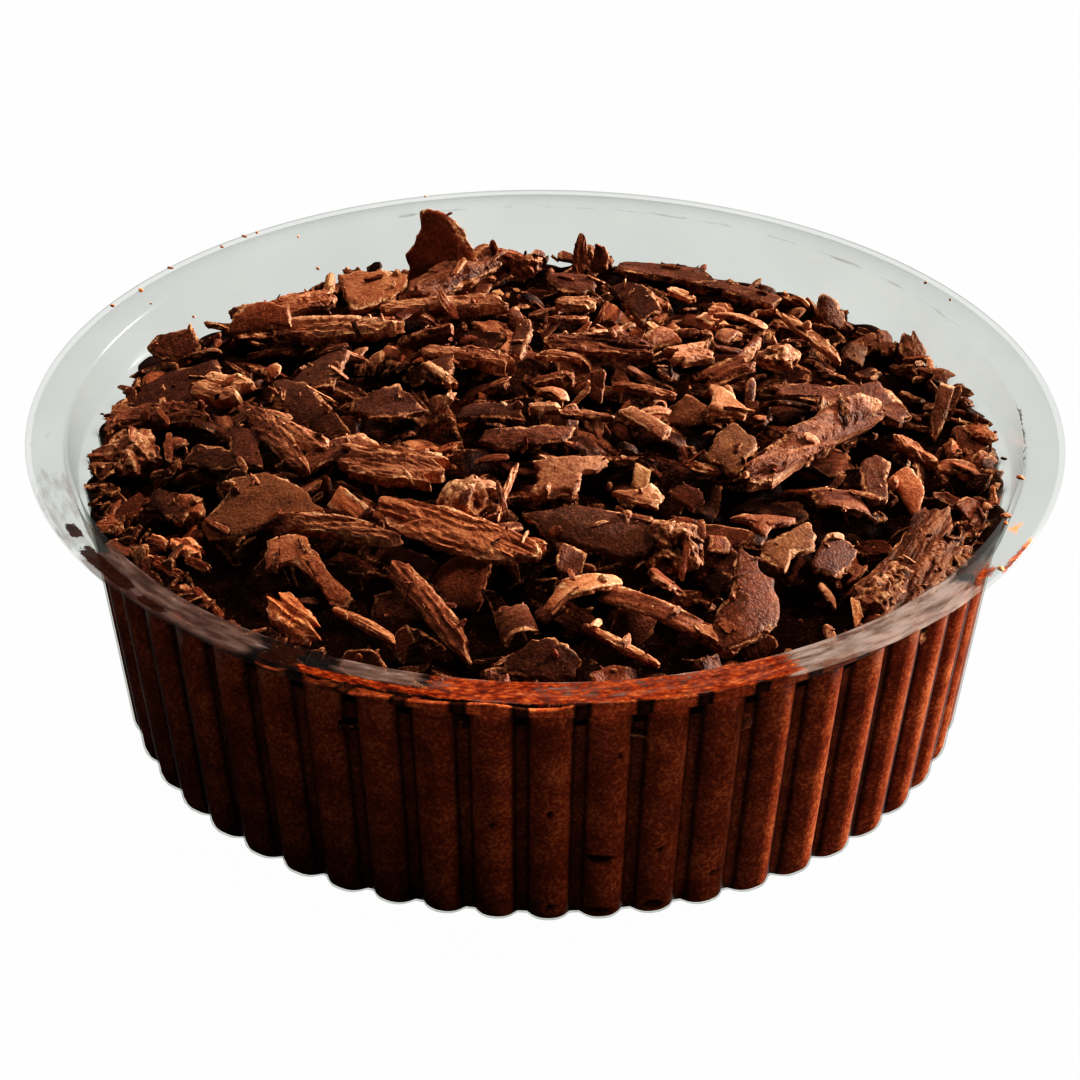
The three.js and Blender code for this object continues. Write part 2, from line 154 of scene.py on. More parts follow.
class Batch:
    """Gathers many small closed shapes into one mesh."""

    def __init__(self):
        self.points = []
        self.faces = []
        self.smooth = []
        self.looks = []
        self.grains = []
        self.count = 0

    def add(self, points, faces, look, grain=None, crisp=0):
        """faces is a list of arrays of triangles or quads, of which the last `crisp` are shaded flat.
        look holds four numbers for the material, and grain the place in its patterns."""
        self.points.append(points)
        self.faces.extend(np.asarray(f) + self.count for f in faces)
        self.smooth.extend(number < len(faces) - crisp for number in range(len(faces)))
        self.looks.append(look)
        self.grains.append(points if grain is None else grain)
        self.count += len(points)

    def build(self, name, material):
        mesh = bpy.data.meshes.new(name)
        points = np.concatenate(self.points) * MM
        mesh.vertices.add(len(points))
        mesh.vertices.foreach_set("co", points.astype(np.float32).ravel())
        sizes = np.concatenate([np.full(len(f), f.shape[1]) for f in self.faces])
        loops = np.concatenate([f.ravel() for f in self.faces])
        mesh.loops.add(len(loops))
        mesh.loops.foreach_set("vertex_index", loops.astype(np.int32))
        mesh.polygons.add(len(sizes))
        starts = np.concatenate([[0], np.cumsum(sizes)[:-1]])
        mesh.polygons.foreach_set("loop_start", starts.astype(np.int32))
        mesh.update(calc_edges=True)
        smooth = np.concatenate([np.full(len(f), flag) for f, flag in zip(self.faces, self.smooth)])
        mesh.polygons.foreach_set("use_smooth", smooth)
        for title, kind, field, rows in (("look", "FLOAT_COLOR", "color", self.looks),
                                         ("grain", "FLOAT_VECTOR", "vector", self.grains)):
            values = mesh.attributes.new(title, kind, "POINT").data
            values.foreach_set(field, np.concatenate(rows).astype(np.float32).ravel())
        mesh.materials.append(material)
        piece = bpy.data.objects.new(name, mesh)
        bpy.context.scene.collection.objects.link(piece)
        return piece


def grid_faces(rows, columns, wrap=False):
    """Quads over a grid whose points run column by column within each row."""
    last = columns if wrap else columns - 1
    row, column = np.meshgrid(np.arange(rows - 1), np.arange(last), indexing="ij")
    here = row * columns + column
    beside = row * columns + (column + 1) % columns
    return np.stack([here, beside, beside + columns, here + columns], axis=-1).reshape(-1, 4)


def closed_rings(rings):
    """A closed surface through rings of equally many points, which ends in a fan at each end."""
    columns = len(rings[0])
    points = np.concatenate(rings)
    ends = [[np.append(ring[:, :2].mean(axis=0), ring[:, 2].mean())] for ring in (rings[0], rings[-1])]
    here = np.arange(columns)
    beside = (here + 1) % columns
    last = len(points) - columns
    low_fan = np.stack([np.full(columns, len(points)), beside, here], axis=-1)
    high_fan = np.stack([np.full(columns, len(points) + 1), last + here, last + beside], axis=-1)
    return np.concatenate([points, *ends]), [grid_faces(len(rings), columns, wrap=True), low_fan, high_fan]


# ---------------------------------------------------------------- the fluted form

FLUTE_STATIONS = (-3.6, -3.22, -3.02, -2.86, -2.7, -2.55, -2.34, -2.08, -1.72, -1.25, -0.62,
                  0, 0.62, 1.25, 1.72, 2.08, 2.34, 2.55, 2.7, 2.86, 3.02, 3.22)
FLUTE_PITCH = 360 / FLUTE_COUNT
TUB_FOOT_TURNS = (0, 18, 36, 54, 72)  # degrees round the rounded foot
MOUSSE_FOOT_TURNS = (0, 30, 60)


def flute_angles():
    """Angles round the tub, close together where the columns turn into the grooves."""
    middles = FLUTE_PHASE + FLUTE_PITCH * np.arange(FLUTE_COUNT)
    return (middles[:, None] + np.array(FLUTE_STATIONS)[None, :]).ravel()


def flute_offset(angles):
    """The angle from the middle of the nearest column."""
    return (angles - FLUTE_PHASE + FLUTE_PITCH / 2) % FLUTE_PITCH - FLUTE_PITCH / 2


def flute_depth(angles):
    """How far the surface lies inside the crests' circle: round columns with narrow grooves between."""
    offset = np.abs(flute_offset(angles))
    crown = COLUMN_CROWN * (np.minimum(offset, COLUMN_EDGE) / COLUMN_EDGE) ** COLUMN_POWER
    groove = smoothstep(COLUMN_EDGE - COLUMN_EDGE_SOFTNESS, GROOVE_EDGE, offset)
    return crown + (FLUTE_DEPTH - COLUMN_CROWN) * groove


def crest_radius(z):
    return CREST_RADIUS_BASE + (CREST_RADIUS_TOP - CREST_RADIUS_BASE) * z / LEDGE_Z


def circle(angles, radius, z):
    turn = np.radians(angles)
    z = np.broadcast_to(z, turn.shape)
    return np.stack([radius * np.cos(turn), radius * np.sin(turn), z], axis=-1)


def circles(angles, profile):
    """Rings at the radii and heights of a profile."""
    return [circle(angles, radius, z) for radius, z in profile]


def foot_rows(angles, inset, turns):
    """Rings round the rounded foot, `inset` inside the outer surface."""
    rings = []
    rounding = FOOT_ROUNDING - inset
    for turn in np.radians(turns):
        z = inset + rounding * (1 - math.cos(turn))
        back = rounding * (1 - math.sin(turn))
        rings.append(circle(angles, crest_radius(z) - inset - back - flute_depth(angles), z))
    return rings


def fluted_rows(angles, inset, top, rows):
    """Rings from the tub's foot up to `top` on the flutes, `inset` inside the outer surface."""
    heights = np.linspace(FOOT_ROUNDING, top, rows)
    upright = circles(angles, [(crest_radius(z) - inset - flute_depth(angles), z) for z in heights])
    return foot_rows(angles, inset, TUB_FOOT_TURNS) + upright


# ---------------------------------------------------------------- the tub

FLOOR_RADII = (12, 30, 44)
FLUTE_ROWS = 7
FLANGE_RINGS = 9
FLANGE_MARGIN = 0.8
COLLAR_BEND_IN = 0.12  # how far the collar's upper bend ends inside its edge, and how far under the rim
COLLAR_BEND_DOWN = 0.5
COLLAR_SHARES = (0.04, 0.08, 0.14, 0.26, 0.4, 0.55, 0.7, 0.85, 0.93)
COLLAR_FOOT_RISE = 0.45
LEDGE_ROUNDING = 0.25


def tub():
    angles = flute_angles()
    flute_top = LEDGE_Z - LEDGE_DROP
    outer_top = COLLAR_TOP_RADIUS + WALL
    inner_foot = COLLAR_FOOT_RADIUS - WALL
    inner_rim = RIM_RADIUS - WALL
    under = RIM_Z - WALL
    lip = RIM_Z - LIP_DROP
    # radius and height, with small steps round the edges
    outside = [
        (COLLAR_FOOT_RADIUS - LEDGE_ROUNDING, LEDGE_Z - 0.12), (COLLAR_FOOT_RADIUS, LEDGE_Z + 0.15),
        (outer_top - 0.1, under - 0.7), (outer_top + 0.1, under - 0.15), (outer_top + 0.6, under),
        (inner_rim - 0.2, under), (inner_rim, under - 0.2), (inner_rim, lip),
        (RIM_RADIUS - 0.1, lip), (RIM_RADIUS, lip + 0.12), (RIM_RADIUS, lip + 0.3),
        (RIM_RADIUS, RIM_Z - 0.35), (RIM_RADIUS - 0.12, RIM_Z - 0.1), (RIM_RADIUS - 0.4, RIM_Z),
    ]
    flange = np.linspace(RIM_RADIUS - FLANGE_MARGIN, COLLAR_TOP_RADIUS + FLANGE_MARGIN, FLANGE_RINGS)
    bend = [(COLLAR_TOP_RADIUS + 0.5, RIM_Z), (COLLAR_TOP_RADIUS + 0.35, RIM_Z),
            (COLLAR_TOP_RADIUS + 0.05, RIM_Z - 0.12),
            (COLLAR_TOP_RADIUS - COLLAR_BEND_IN, RIM_Z - COLLAR_BEND_DOWN)]
    slant = COLLAR_TOP_RADIUS - COLLAR_BEND_IN - COLLAR_FOOT_RADIUS + WALL
    fall = RIM_Z - COLLAR_BEND_DOWN - LEDGE_Z - COLLAR_FOOT_RISE
    collar = [(COLLAR_TOP_RADIUS - COLLAR_BEND_IN - share * slant, RIM_Z - COLLAR_BEND_DOWN - share * fall)
              for share in COLLAR_SHARES]
    foot = [(inner_foot, LEDGE_Z + COLLAR_FOOT_RISE), (inner_foot - LEDGE_ROUNDING, LEDGE_Z + 0.2)]
    rings = circles(angles, [(radius, 0) for radius in FLOOR_RADII])
    rings += fluted_rows(angles, 0, flute_top, FLUTE_ROWS)
    rings += circles(angles, outside + [(radius, RIM_Z) for radius in flange] + bend + collar + foot)
    rings += fluted_rows(angles, WALL, flute_top + LEDGE_ROUNDING, FLUTE_ROWS)[::-1]
    rings += circles(angles, [(radius, WALL) for radius in FLOOR_RADII[::-1]])
    points, faces = closed_rings(rings)
    around = np.degrees(np.arctan2(points[:, 0], -points[:, 1]))
    radius = np.hypot(points[:, 0], points[:, 1])
    unrolled = np.stack([np.radians(around) * RIM_RADIUS, radius, points[:, 2]], axis=-1)
    batch = Batch()
    batch.add(points, faces, soiling(points), unrolled)
    return batch.build("tub", clear_plastic())


# Where the rim is soiled: middle and half width in degrees, inner and outer radius, and how much
# grey film, orange smear and dark chocolate there is.
SOIL = (
    (-136, 13.5, 55.4, 60.5, 1.0, 0.0, 0.0),
    (-160, 10, 55.6, 60.5, 0.45, 0.0, 0.0),
    (-176, 12, 56.0, 60.5, 0.22, 0.0, 0.0),
    (-108, 5, 55.0, 58.2, 0.9, 0.1, 0.0),
    (-106, 11, 58.3, 59.6, 0.0, 1.1, 0.0),
    (-83, 20, 55.2, 59.6, 0.75, 0.72, 0.0),
    (-95, 5, 55.6, 59.6, 0.3, 1.0, 0.0),
    (-68, 6, 55.6, 59.6, 0.3, 1.1, 0.0),
    (-80, 14, 58.5, 59.6, 0.0, 1.1, 0.0),
    (-59, 5, 55.6, 59.8, 0.95, 0.15, 0.0),
    (-50, 14, 55.2, 60.5, 0.95, 0.1, 0.0),
    (-34, 6, 55.6, 60.5, 0.32, 0.0, 0.0),
    (-32.9, 1.5, 57.6, 59.2, 0.5, 0.8, 0.0),
    (-28, 4, 59.4, 60.2, 0.0, 1.0, 0.1),
    (-3, 11, 55.0, 55.4, 0.3, 0.0, 0.75),
    (-22.7, 1.3, 56.6, 57.9, 0.0, 0.72, 0.0),
    (70, 48, 55.1, 55.5, 0.7, 0.0, 0.0),
    # This dark patch is painted shade over the gap between the mousse and the rim.
    (-119.3, 2.2, 55.6, 59.6, 0.0, 0.0, 0.7),
    (-155, 1.6, 57.4, 58.8, 0.0, 0.0, 1.0),
    (-146, 5, 57.6, 59.3, 0.0, 0.1, 1.05),
    (-137, 2.5, 58.2, 59.4, 0.0, 0.0, 0.8),
)
SOIL_FADE = 1.2  # degrees over which the end of a soiled stretch fades, and how much of its half width
SOIL_FADE_SHARE = 0.15
SOIL_EDGE = 0.5
BAND_FADE = 5


def around_band(around, low, high):
    """1 between two angles round the tub, with soft ends."""
    begun = smoothstep(low - BAND_FADE, low + BAND_FADE, around)
    return begun * (1 - smoothstep(high - BAND_FADE, high + BAND_FADE, around))


def soiling(points):
    """Grey film, orange smear and dark chocolate on the flange's top."""
    radius = np.hypot(points[:, 0], points[:, 1])
    around = np.degrees(np.arctan2(points[:, 1], points[:, 0]))
    top = smoothstep(RIM_Z - 0.3, RIM_Z - 0.12, points[:, 2])
    look = np.zeros((len(points), 4))  # film, smear, dark, nothing
    for middle, half, inner, outer, *amounts in SOIL:
        gap = np.abs(angle_gap(around, middle))
        low = half - SOIL_FADE - SOIL_FADE_SHARE * half
        high = half + SOIL_FADE + SOIL_FADE_SHARE * half
        cover = 1 - smoothstep(low, high, gap)
        cover = cover * smoothstep(inner - SOIL_EDGE, inner + SOIL_EDGE, radius)
        cover = cover * (1 - smoothstep(outer - SOIL_EDGE, outer + SOIL_EDGE, radius))
        for channel, amount in enumerate(amounts):
            look[:, channel] = np.maximum(look[:, channel], amount * cover * top)
    return look


# ---------------------------------------------------------------- the mousse

# How far under the rim the mousse ends on the wall, by the angle round the tub.
MOUSSE_LEVELS = (
    (-180, -6.0), (-150, -5.6), (-118, -6.4), (-111, -5.4), (-97, -4.1), (-80, -3.9), (-49, -4.0),
    (-20, -5.6), (0, -5.8), (20, -6.2), (60, -6.0), (110, -6.2), (150, -5.9), (180, -6.0),
)
# Slits and bubbles against the wall, painted dark as the shade in them: angle, height, half width in
# degrees, half height.
SLITS = (
    (-82.6, 9.6, 2.0, 0.6), (-82.4, 1.7, 2.0, 0.6), (-75.1, 2.1, 1.5, 0.5), (-88.9, 2.7, 0.7, 0.45),
    (-74.7, 10.1, 0.6, 0.5), (-80.8, 24.5, 0.35, 0.7), (-89.1, 16.5, 0.4, 0.4), (-96.0, 14.6, 0.4, 0.5),
    (-66.9, 5.3, 1.0, 0.3),
)
SLIT_DEPTH = 0.6
LEVEL_WAVE = 1.6  # how high the waves in its upper edge are
LEVEL_WAVES = 9  # and how many there are in a radian
LEDGE_RISE = 0.28  # the height in which it follows the wall out to the collar
WALL_ROWS = 72
COLLAR_ROWS = (0, 0.2, 0.4, 0.6, 0.8, 0.93, 1)
COLLAR_GAP = 0.35  # to the collar's foot
COLLAR_SLOPE = 0.27
TOP_EDGE_SHRINK = 0.989
TOP_FACE = ((51.2, 0.5), (50.6, 1.4), (49.5, 2.2), (40, 2.4), (20, 2.4))  # radius and how far it has sunk
TOP_LIMIT = 2.2  # over the solids' mousse
SIDE_RADIUS = 46.5  # what lies beyond it is the side
BUBBLE_COUNT = 150
BUBBLE_HEIGHTS = (2.5, 27)
BUBBLE_LEAST, BUBBLE_SPREAD = 0.2, 0.25  # radius
BUBBLE_DEPTH = 0.7  # in radii
MM_PER_DEGREE = 0.89  # along the wall
SMEARED_FRONT = (-145, -25)  # where the smear covers the dark upper edge
PALE_TOPS = (-104, -60)  # where the photograph shows pale tops on the columns


def mousse_level(angles):
    """The height to which the mousse wets the wall, which is uneven."""
    turned_angles = angle_gap(angles, 0)
    at, drop = zip(*MOUSSE_LEVELS)
    way = np.radians(turned_angles)
    wave = (noise(np.cos(way) * LEVEL_WAVES, np.sin(way) * LEVEL_WAVES, 0, 5) - 0.5) * LEVEL_WAVE
    return RIM_Z + np.interp(turned_angles, at, drop) + wave


def mousse_rings(angles):
    inset = WALL * 0.5
    level = mousse_level(angles)
    bend = np.minimum(LEDGE_Z - LEDGE_DROP, level - 0.3)
    heights = [FOOT_ROUNDING + (bend - FOOT_ROUNDING) * share for share in np.linspace(0, 1, WALL_ROWS)]
    step = bend + np.minimum(LEDGE_RISE, 0.5 * (level - bend))
    heights += [step + (level - step) * share for share in COLLAR_ROWS]
    rings = foot_rows(angles, inset, MOUSSE_FOOT_TURNS)
    for z in heights:
        fluted = crest_radius(np.minimum(z, LEDGE_Z)) - inset - flute_depth(angles)
        plain = COLLAR_FOOT_RADIUS - COLLAR_GAP + COLLAR_SLOPE * np.maximum(z - LEDGE_Z - 0.15, 0)
        share = np.clip((z - LEDGE_Z + LEDGE_DROP) / LEDGE_RISE, 0, 1)
        rings.append(circle(angles, fluted + (plain - fluted) * share, z))
    rings[-1][:, :2] *= TOP_EDGE_SHRINK
    top = np.minimum(level, MOUSSE_TOP + TOP_LIMIT)
    rings += circles(angles, [(radius, top - sink) for radius, sink in TOP_FACE])
    return [circle(angles, 20, inset)] + rings


def mousse_dents(around, height):
    """How deep the bubbles and slits against the wall are, and where the slits are."""
    rng = np.random.default_rng(11)
    dent = np.zeros(len(around))
    for _ in range(BUBBLE_COUNT):
        angle = rng.uniform(-180, 180)
        z = rng.uniform(*BUBBLE_HEIGHTS)
        size = BUBBLE_LEAST + BUBBLE_SPREAD * rng.random() ** 2
        far = np.hypot(angle_gap(around, angle) * MM_PER_DEGREE, height - z) / size
        dent = np.maximum(dent, size * BUBBLE_DEPTH * (1 - smoothstep(0.3, 1, far)))
    slit = np.zeros(len(around))
    for angle, z, half_width, half_height in SLITS:
        far = np.hypot(angle_gap(around, angle) / half_width, (height - z) / half_height)
        slit = np.maximum(slit, 1 - smoothstep(0.5, 1.1, far))
    return np.maximum(dent, SLIT_DEPTH * slit), slit


def mousse_look(around, height, dent, slit):
    """Half the tone, and how dark it is: painted shade in dents, slits and grooves, and a darker upper
    edge.
    """
    offset = np.abs(flute_offset(around))
    in_groove = smoothstep(2.6, 3.0, offset)
    # Painted shade: the grooves are darker, most along their edges and near their tops under the ledge.
    grooves = 1.15 * smoothstep(2.35, 2.7, offset) - 0.6 * smoothstep(2.8, 3.15, offset)
    grooves = grooves + 0.6 * in_groove * smoothstep(-4.5, -0.8, height - LEDGE_Z)
    # Darker along the upper edge against the wall, except along the smeared front.
    dark_upper_edge = smoothstep(-1.2, -0.6, height - mousse_level(around))
    dark_upper_edge = dark_upper_edge * (1 - around_band(around, *SMEARED_FRONT))
    tops = smoothstep(-1.7, -0.7, height - LEDGE_Z + 0.8 * noise(around / 3, 0, 0, 21))
    tops = tops * (1 - in_groove) * around_band(around, *PALE_TOPS)
    look = np.zeros((len(around), 4))
    look[:, 0] = (1 + 0.9 * tops) / 2
    # Dents, slits and grooves are painted shade; the upper edge is darker too.
    look[:, 1] = np.clip(dent + 1.3 * slit + grooves + 1.4 * dark_upper_edge, 0, 1.4)
    return look


def mousse():
    points, faces = closed_rings(mousse_rings(flute_angles()))
    radius = np.hypot(points[:, 0], points[:, 1])
    around = np.degrees(np.arctan2(points[:, 1], points[:, 0]))
    height = points[:, 2]
    dent, slit = mousse_dents(around, height)
    side = radius > SIDE_RADIUS
    dent = np.where(side, dent, 0)
    points[:, :2] *= np.where(side, 1 - dent / np.maximum(radius, 1), 1)[:, None]
    batch = Batch()
    batch.add(points, faces, mousse_look(around, height, dent, slit))
    return batch.build("mousse_filling", mousse_material())


# ---------------------------------------------------------------- the heap of flakes

SEED_RANGE = 1_000_000
CORNERS = ((1, -1), (1, 1), (-1, 1), (-1, -1))
CORNER_BREAK_CHANCE = 0.6
CORNER_BREAK = (0.15, 0.8)  # how much of a corner breaks off
TINY = 1e-6


def heap_height(x, y):
    share = np.minimum(np.hypot(x, y) / HEAP_REACH, HEAP_LIMIT)
    return RIM_Z + HEAP_CROWN - HEAP_FALL * share**HEAP_POWER


def outline_reach(outline, u, v):
    """How far along the way from the middle through (u, v) the outline lies, in lengths of (u, v)."""
    reach = np.full(u.shape, np.inf)
    corners = np.asarray(outline, float)
    for (ax, ay), (bx, by) in zip(corners, np.roll(corners, -1, axis=0)):
        ex, ey = bx - ax, by - ay
        cross = u * ey - v * ex
        safe = np.where(np.abs(cross) < 1e-9, 1e-9, cross)
        along = (ax * ey - ay * ex) / safe
        share = (ax * v - ay * u) / safe
        hit = (share >= -TINY) & (share <= 1 + TINY) & (along > 0)
        reach = np.where(hit & (along < reach), along, reach)
    return np.where(np.isfinite(reach), reach, 1.0)


def broken_outline(rng, cut, pointed):
    """A random angular outline that fills the square from -1 to 1, with some of its corners broken off."""
    points = []
    for number, (side_x, side_y) in enumerate(CORNERS):
        x = side_x * (1 - rng.uniform(0, cut))
        y = side_y * (1 - rng.uniform(0, cut)) * (1 - pointed * rng.uniform(0.3, 1))
        if rng.random() < CORNER_BREAK_CHANCE:
            off_x, off_y = rng.uniform(*CORNER_BREAK, 2)
            pair = [(x * (1 - off_x), y / (1 - 0.5 * pointed)), (x, y * (1 - off_y))]
            points.extend(pair if number % 2 == 0 else pair[::-1])
        else:
            points.append((x, y))
    return points


# Thickness, how far the corners are cut back, how pointed the ends are, how ragged the rim is, how far
# the ends splinter, height and spacing of the ridges along the flake, and roughness.
KIND_FIELDS = ("thick", "cut", "pointed", "rag", "fringe", "ridge", "spacing", "rough")
KINDS = {kind: dict(zip(KIND_FIELDS, values)) for kind, values in {
    "plate": (0.75, 0.42, 0.1, 1.0, 0.2, 0.05, 1.3, 0.09),
    "bark": (1.5, 0.25, 0.1, 0.9, 1.3, 0.42, 0.85, 0.2),
    "splinter": (0.8, 0.25, 0.6, 0.45, 0.9, 0.2, 0.6, 0.12),
    "curl": (0.55, 0.35, 0.2, 0.8, 0.4, 0.1, 0.8, 0.08),
}.items()}
FEWEST_CELLS = 6
SKEW = 0.14
RIM_TEETH = ((1.7, 0.3, 0.55), (0.75, 5.3, 0.42))  # size, level in the noise and height
SIDE_BANDS = 3
UNDERSIDE_RINGS = (0.84, 0.5)
# The underside's low relief paints it darker, as shade under the flake.
UNDERSIDE_EDGE, UNDERSIDE_RELIEF = 0.3, 0.35


def broken_rim(shape, seed, outline, u, v, s, length, width):
    """The point of the ragged rim that lies beyond each point, with teeth, bites and splintered ends."""
    reach = outline_reach(outline, u / s, v / s)
    x = reach * u / s * length / 2
    y = reach * v / s * width / 2
    size = np.maximum(np.hypot(x, y), TINY)
    rag = 0
    for number, (tooth, level, height) in enumerate(RIM_TEETH):
        rag = rag + height * (flat_noise(x, y, tooth, level, seed + number) - 0.5)
    rag -= 1.5 * np.maximum(flat_noise(x, y, 2.4, 7.7, seed + 2) - 0.64, 0)  # bites
    rag = np.maximum(rag * 1.5 * shape["rag"] * min(1, width / 6), -0.4 * size)
    x = x * (1 + rag / size)
    y = y * (1 + rag / size)
    comb = noise(y / 0.6, 0, 2.2, seed + 3, True) + 0.6 * noise(y / 1.9, 0, 4.2, seed + 4, True) - 0.8
    at_end = np.clip(np.abs(u) / s * 4 - 3, 0, 1)
    return x + np.sign(u) * at_end * np.maximum(comb * 1.7 * shape["fringe"], -0.3 * length), y


def broken_face(shape, kind, seed, skew, x, y, v, inward, thickness):
    """The upper face's height, how much of it is worn edge, and its relief."""
    along = x + skew * y
    across = y - skew * x + 1.3 * (flat_noise(x, y, 6, 0, seed + 5, False) - 0.5)
    spacing = shape["spacing"]
    fibre = 1 - np.abs(2 * layered(along / (spacing * 9), across / spacing, 0.5, seed + 6, 3) - 1) * 1.7
    terrace = np.floor(noise(along / 8, across / 1.7, 3.1, seed + 7) * 6) / 5
    # Relief is high on the ridges and low in the grooves; the colour follows it, partly grain, partly
    # painted highlight and painted shade.
    relief = np.clip(0.5 * fibre + 0.55 * terrace, 0, 1)
    if kind == "plate":
        relief = 0.34 + 0.14 * relief
    grain = layered(x / 0.9, y / 0.9, 4.4, seed + 8, 3) - 0.5
    # the lip along the rim, which is chipped and here and there worn pale
    chip = flat_noise(x, y, 0.5, 6.6, seed + 9)
    band = 0.22 + 1.5 * np.maximum(flat_noise(x, y, 2.1, 8.8, seed + 10, False) - 0.45, 0)
    lip = 1 - smoothstep(0.5, 1.0, inward / band)
    thick = thickness * (0.85 + 0.3 * flat_noise(x, y, 5, 2.5, seed + 11, False))
    if kind == "bark":
        thick = thick * (1 - 0.35 * v**2)
    ridges = 1.1 * (fibre - 0.4) + 1.3 * (terrace - 0.4)
    top = thick / 2 + shape["ridge"] * ridges + shape["rough"] * 2 * grain
    top = np.maximum(top - lip * (0.06 + 0.3 * chip) * min(1, thickness), -0.25 * thick)
    worn = np.clip(2.4 * flat_noise(x, y, 2.8, 3.7, seed + 14, False) - 0.4, 0, 1.4)
    edge = np.clip(lip * (0.45 + 0.8 * chip) * worn, 0, 1)
    return top, edge, np.clip(relief - 0.5 * lip * (0.6 - chip), 0, 1)


def closed_sheet(shape, seed, x, y, top, edge, relief, thickness):
    """Closes an upper face with broken sides and an underside: points, faces, edge and relief."""
    columns, rows = x.shape
    upper = np.stack([x, y, top], axis=-1).reshape(-1, 3)
    index = np.arange(columns * rows).reshape(columns, rows)
    loop = np.concatenate([index[:, 0], index[-1, 1:], index[-2::-1, -1], index[0, -2:0:-1]])
    rim = upper[loop]
    away = rim[:, :2] / np.maximum(np.hypot(rim[:, 0], rim[:, 1]), TINY)[:, None]
    low = -thickness / 2
    around = len(loop)
    points, edges, reliefs = [upper], [edge.reshape(-1)], [relief.reshape(-1)]
    for step in range(1, SIDE_BANDS + 1):
        share = step / SIDE_BANDS
        ring = rim.copy()
        ring[:, 2] = rim[:, 2] * (1 - share) + low * share
        jut = noise(rim[:, 0] / 0.55, rim[:, 1] / 0.55, ring[:, 2] / 0.4 + 9, seed + 12, True) - 0.55
        ring[:, :2] += away * (jut * 0.75 * min(1, thickness))[:, None]
        points.append(ring)
        edges.append(np.clip(0.75 - 0.5 * share + jut, 0, 1))
        # Jutting parts of the sides are lighter and hollows darker: painted highlight and painted shade.
        reliefs.append(np.clip(0.55 + 1.2 * jut, 0, 1))
    lowest = points[-1]
    for scale in UNDERSIDE_RINGS:
        ring = lowest.copy()
        ring[:, :2] *= scale
        dent = flat_noise(ring[:, 0], ring[:, 1], 0.8, 1.4, seed + 13) - 0.5
        ring[:, 2] = low + shape["rough"] * 3 * dent
        points.append(ring)
    points.append(np.array([[0, 0, low]]))
    under = around * len(UNDERSIDE_RINGS) + 1
    edges.append(np.full(under, UNDERSIDE_EDGE))
    reliefs.append(np.full(under, UNDERSIDE_RELIEF))
    start = columns * rows
    bands = SIDE_BANDS + len(UNDERSIDE_RINGS)
    rings = [loop] + [start + band * around + np.arange(around) for band in range(bands)]
    faces = [grid_faces(columns, rows)[:, ::-1]]
    for above, below in zip(rings, rings[1:]):
        faces.append(np.stack([below, np.roll(below, -1), np.roll(above, -1), above], axis=-1))
    inner = rings[-1]
    faces.append(np.stack([np.full(around, start + bands * around), np.roll(inner, -1), inner], axis=-1))
    return np.concatenate(points), faces, np.concatenate(edges), np.concatenate(reliefs)


def bent(flat, height, radius):
    """Bends a sheet to a radius: where its flat direction and its height come to lie."""
    turn = flat / radius
    return (radius + height) * np.sin(turn), (radius + height) * np.cos(turn) - radius


def sheet(rng, length, width, kind, arc, cell, outline=None, cross=0.0, twist=0.0):
    """One flake about its own middle, long axis along +X: points, faces, edge, relief and local place."""
    shape = KINDS[kind]
    thickness = shape["thick"] * min(1.0, 0.2 + length / 9)
    seed = int(rng.integers(1, SEED_RANGE))
    if outline is None:
        outline = broken_outline(rng, shape["cut"], shape["pointed"])
    columns, rows = (max(FEWEST_CELLS, int(round(size / cell)) + 1) for size in (length, width))
    u, v = np.meshgrid(np.linspace(-1, 1, columns), np.linspace(-1, 1, rows), indexing="ij")
    s = np.maximum(np.maximum(np.abs(u), np.abs(v)), 1e-9)
    rim_x, rim_y = broken_rim(shape, seed, outline, u, v, s, length, width)
    x = s * rim_x
    y = s * rim_y
    inward = (1 - s) * np.where(np.abs(v) > np.abs(u), np.abs(rim_y), np.abs(rim_x))
    face = broken_face(shape, kind, seed, rng.uniform(-SKEW, SKEW), x, y, v, inward, thickness)
    points, faces, edge, relief = closed_sheet(shape, seed, x, y, *face, thickness)
    place = points.copy()
    if cross:
        points[:, 1], points[:, 2] = bent(points[:, 1], points[:, 2], width / math.radians(cross))
    points[:, 0], points[:, 2] = bent(points[:, 0], points[:, 2], length / math.radians(max(arc, 1)))
    turn = math.radians(twist) * points[:, 0] / length
    across, height = points[:, 1].copy(), points[:, 2].copy()
    points[:, 1] = across * np.cos(turn) - height * np.sin(turn)
    points[:, 2] = across * np.sin(turn) + height * np.cos(turn)
    return points, faces, edge, relief, place


def heap_frame(x, y):
    """The turn from flat to the slope of the heap at (x, y)."""
    step = 0.5
    slope_x = (heap_height(x + step, y) - heap_height(x - step, y)) / (2 * step)
    slope_y = (heap_height(x, y + step) - heap_height(x, y - step)) / (2 * step)
    normal = Vector((-slope_x, -slope_y, 1)).normalized()
    return Vector((0, 0, 1)).rotation_difference(normal).to_matrix()


def turned(heading, pitch, roll):
    return Euler((math.radians(roll), math.radians(-pitch), math.radians(heading)), "XYZ").to_matrix()


def inside_wall(points):
    """Pushes points that would pass through the tub's wall back inside it."""
    radius = np.hypot(points[:, 0], points[:, 1])
    ledge = LEDGE_Z + 0.6
    wall = np.where(points[:, 2] < ledge, 51.7, 53.4 + 0.2 * (points[:, 2] - ledge))
    points[:, :2] *= np.minimum(1, wall / np.maximum(radius, TINY))[:, None]
    return points


def lay(points, x, y, heading, pitch, roll, lift):
    """Turns a flake with the slope of the heap and sets it there, `lift` above the heap's level."""
    matrix = np.array(heap_frame(x, y) @ turned(heading, pitch, roll))
    return inside_wall(points @ matrix.T + np.array([x, y, float(heap_height(x, y)) + lift]))


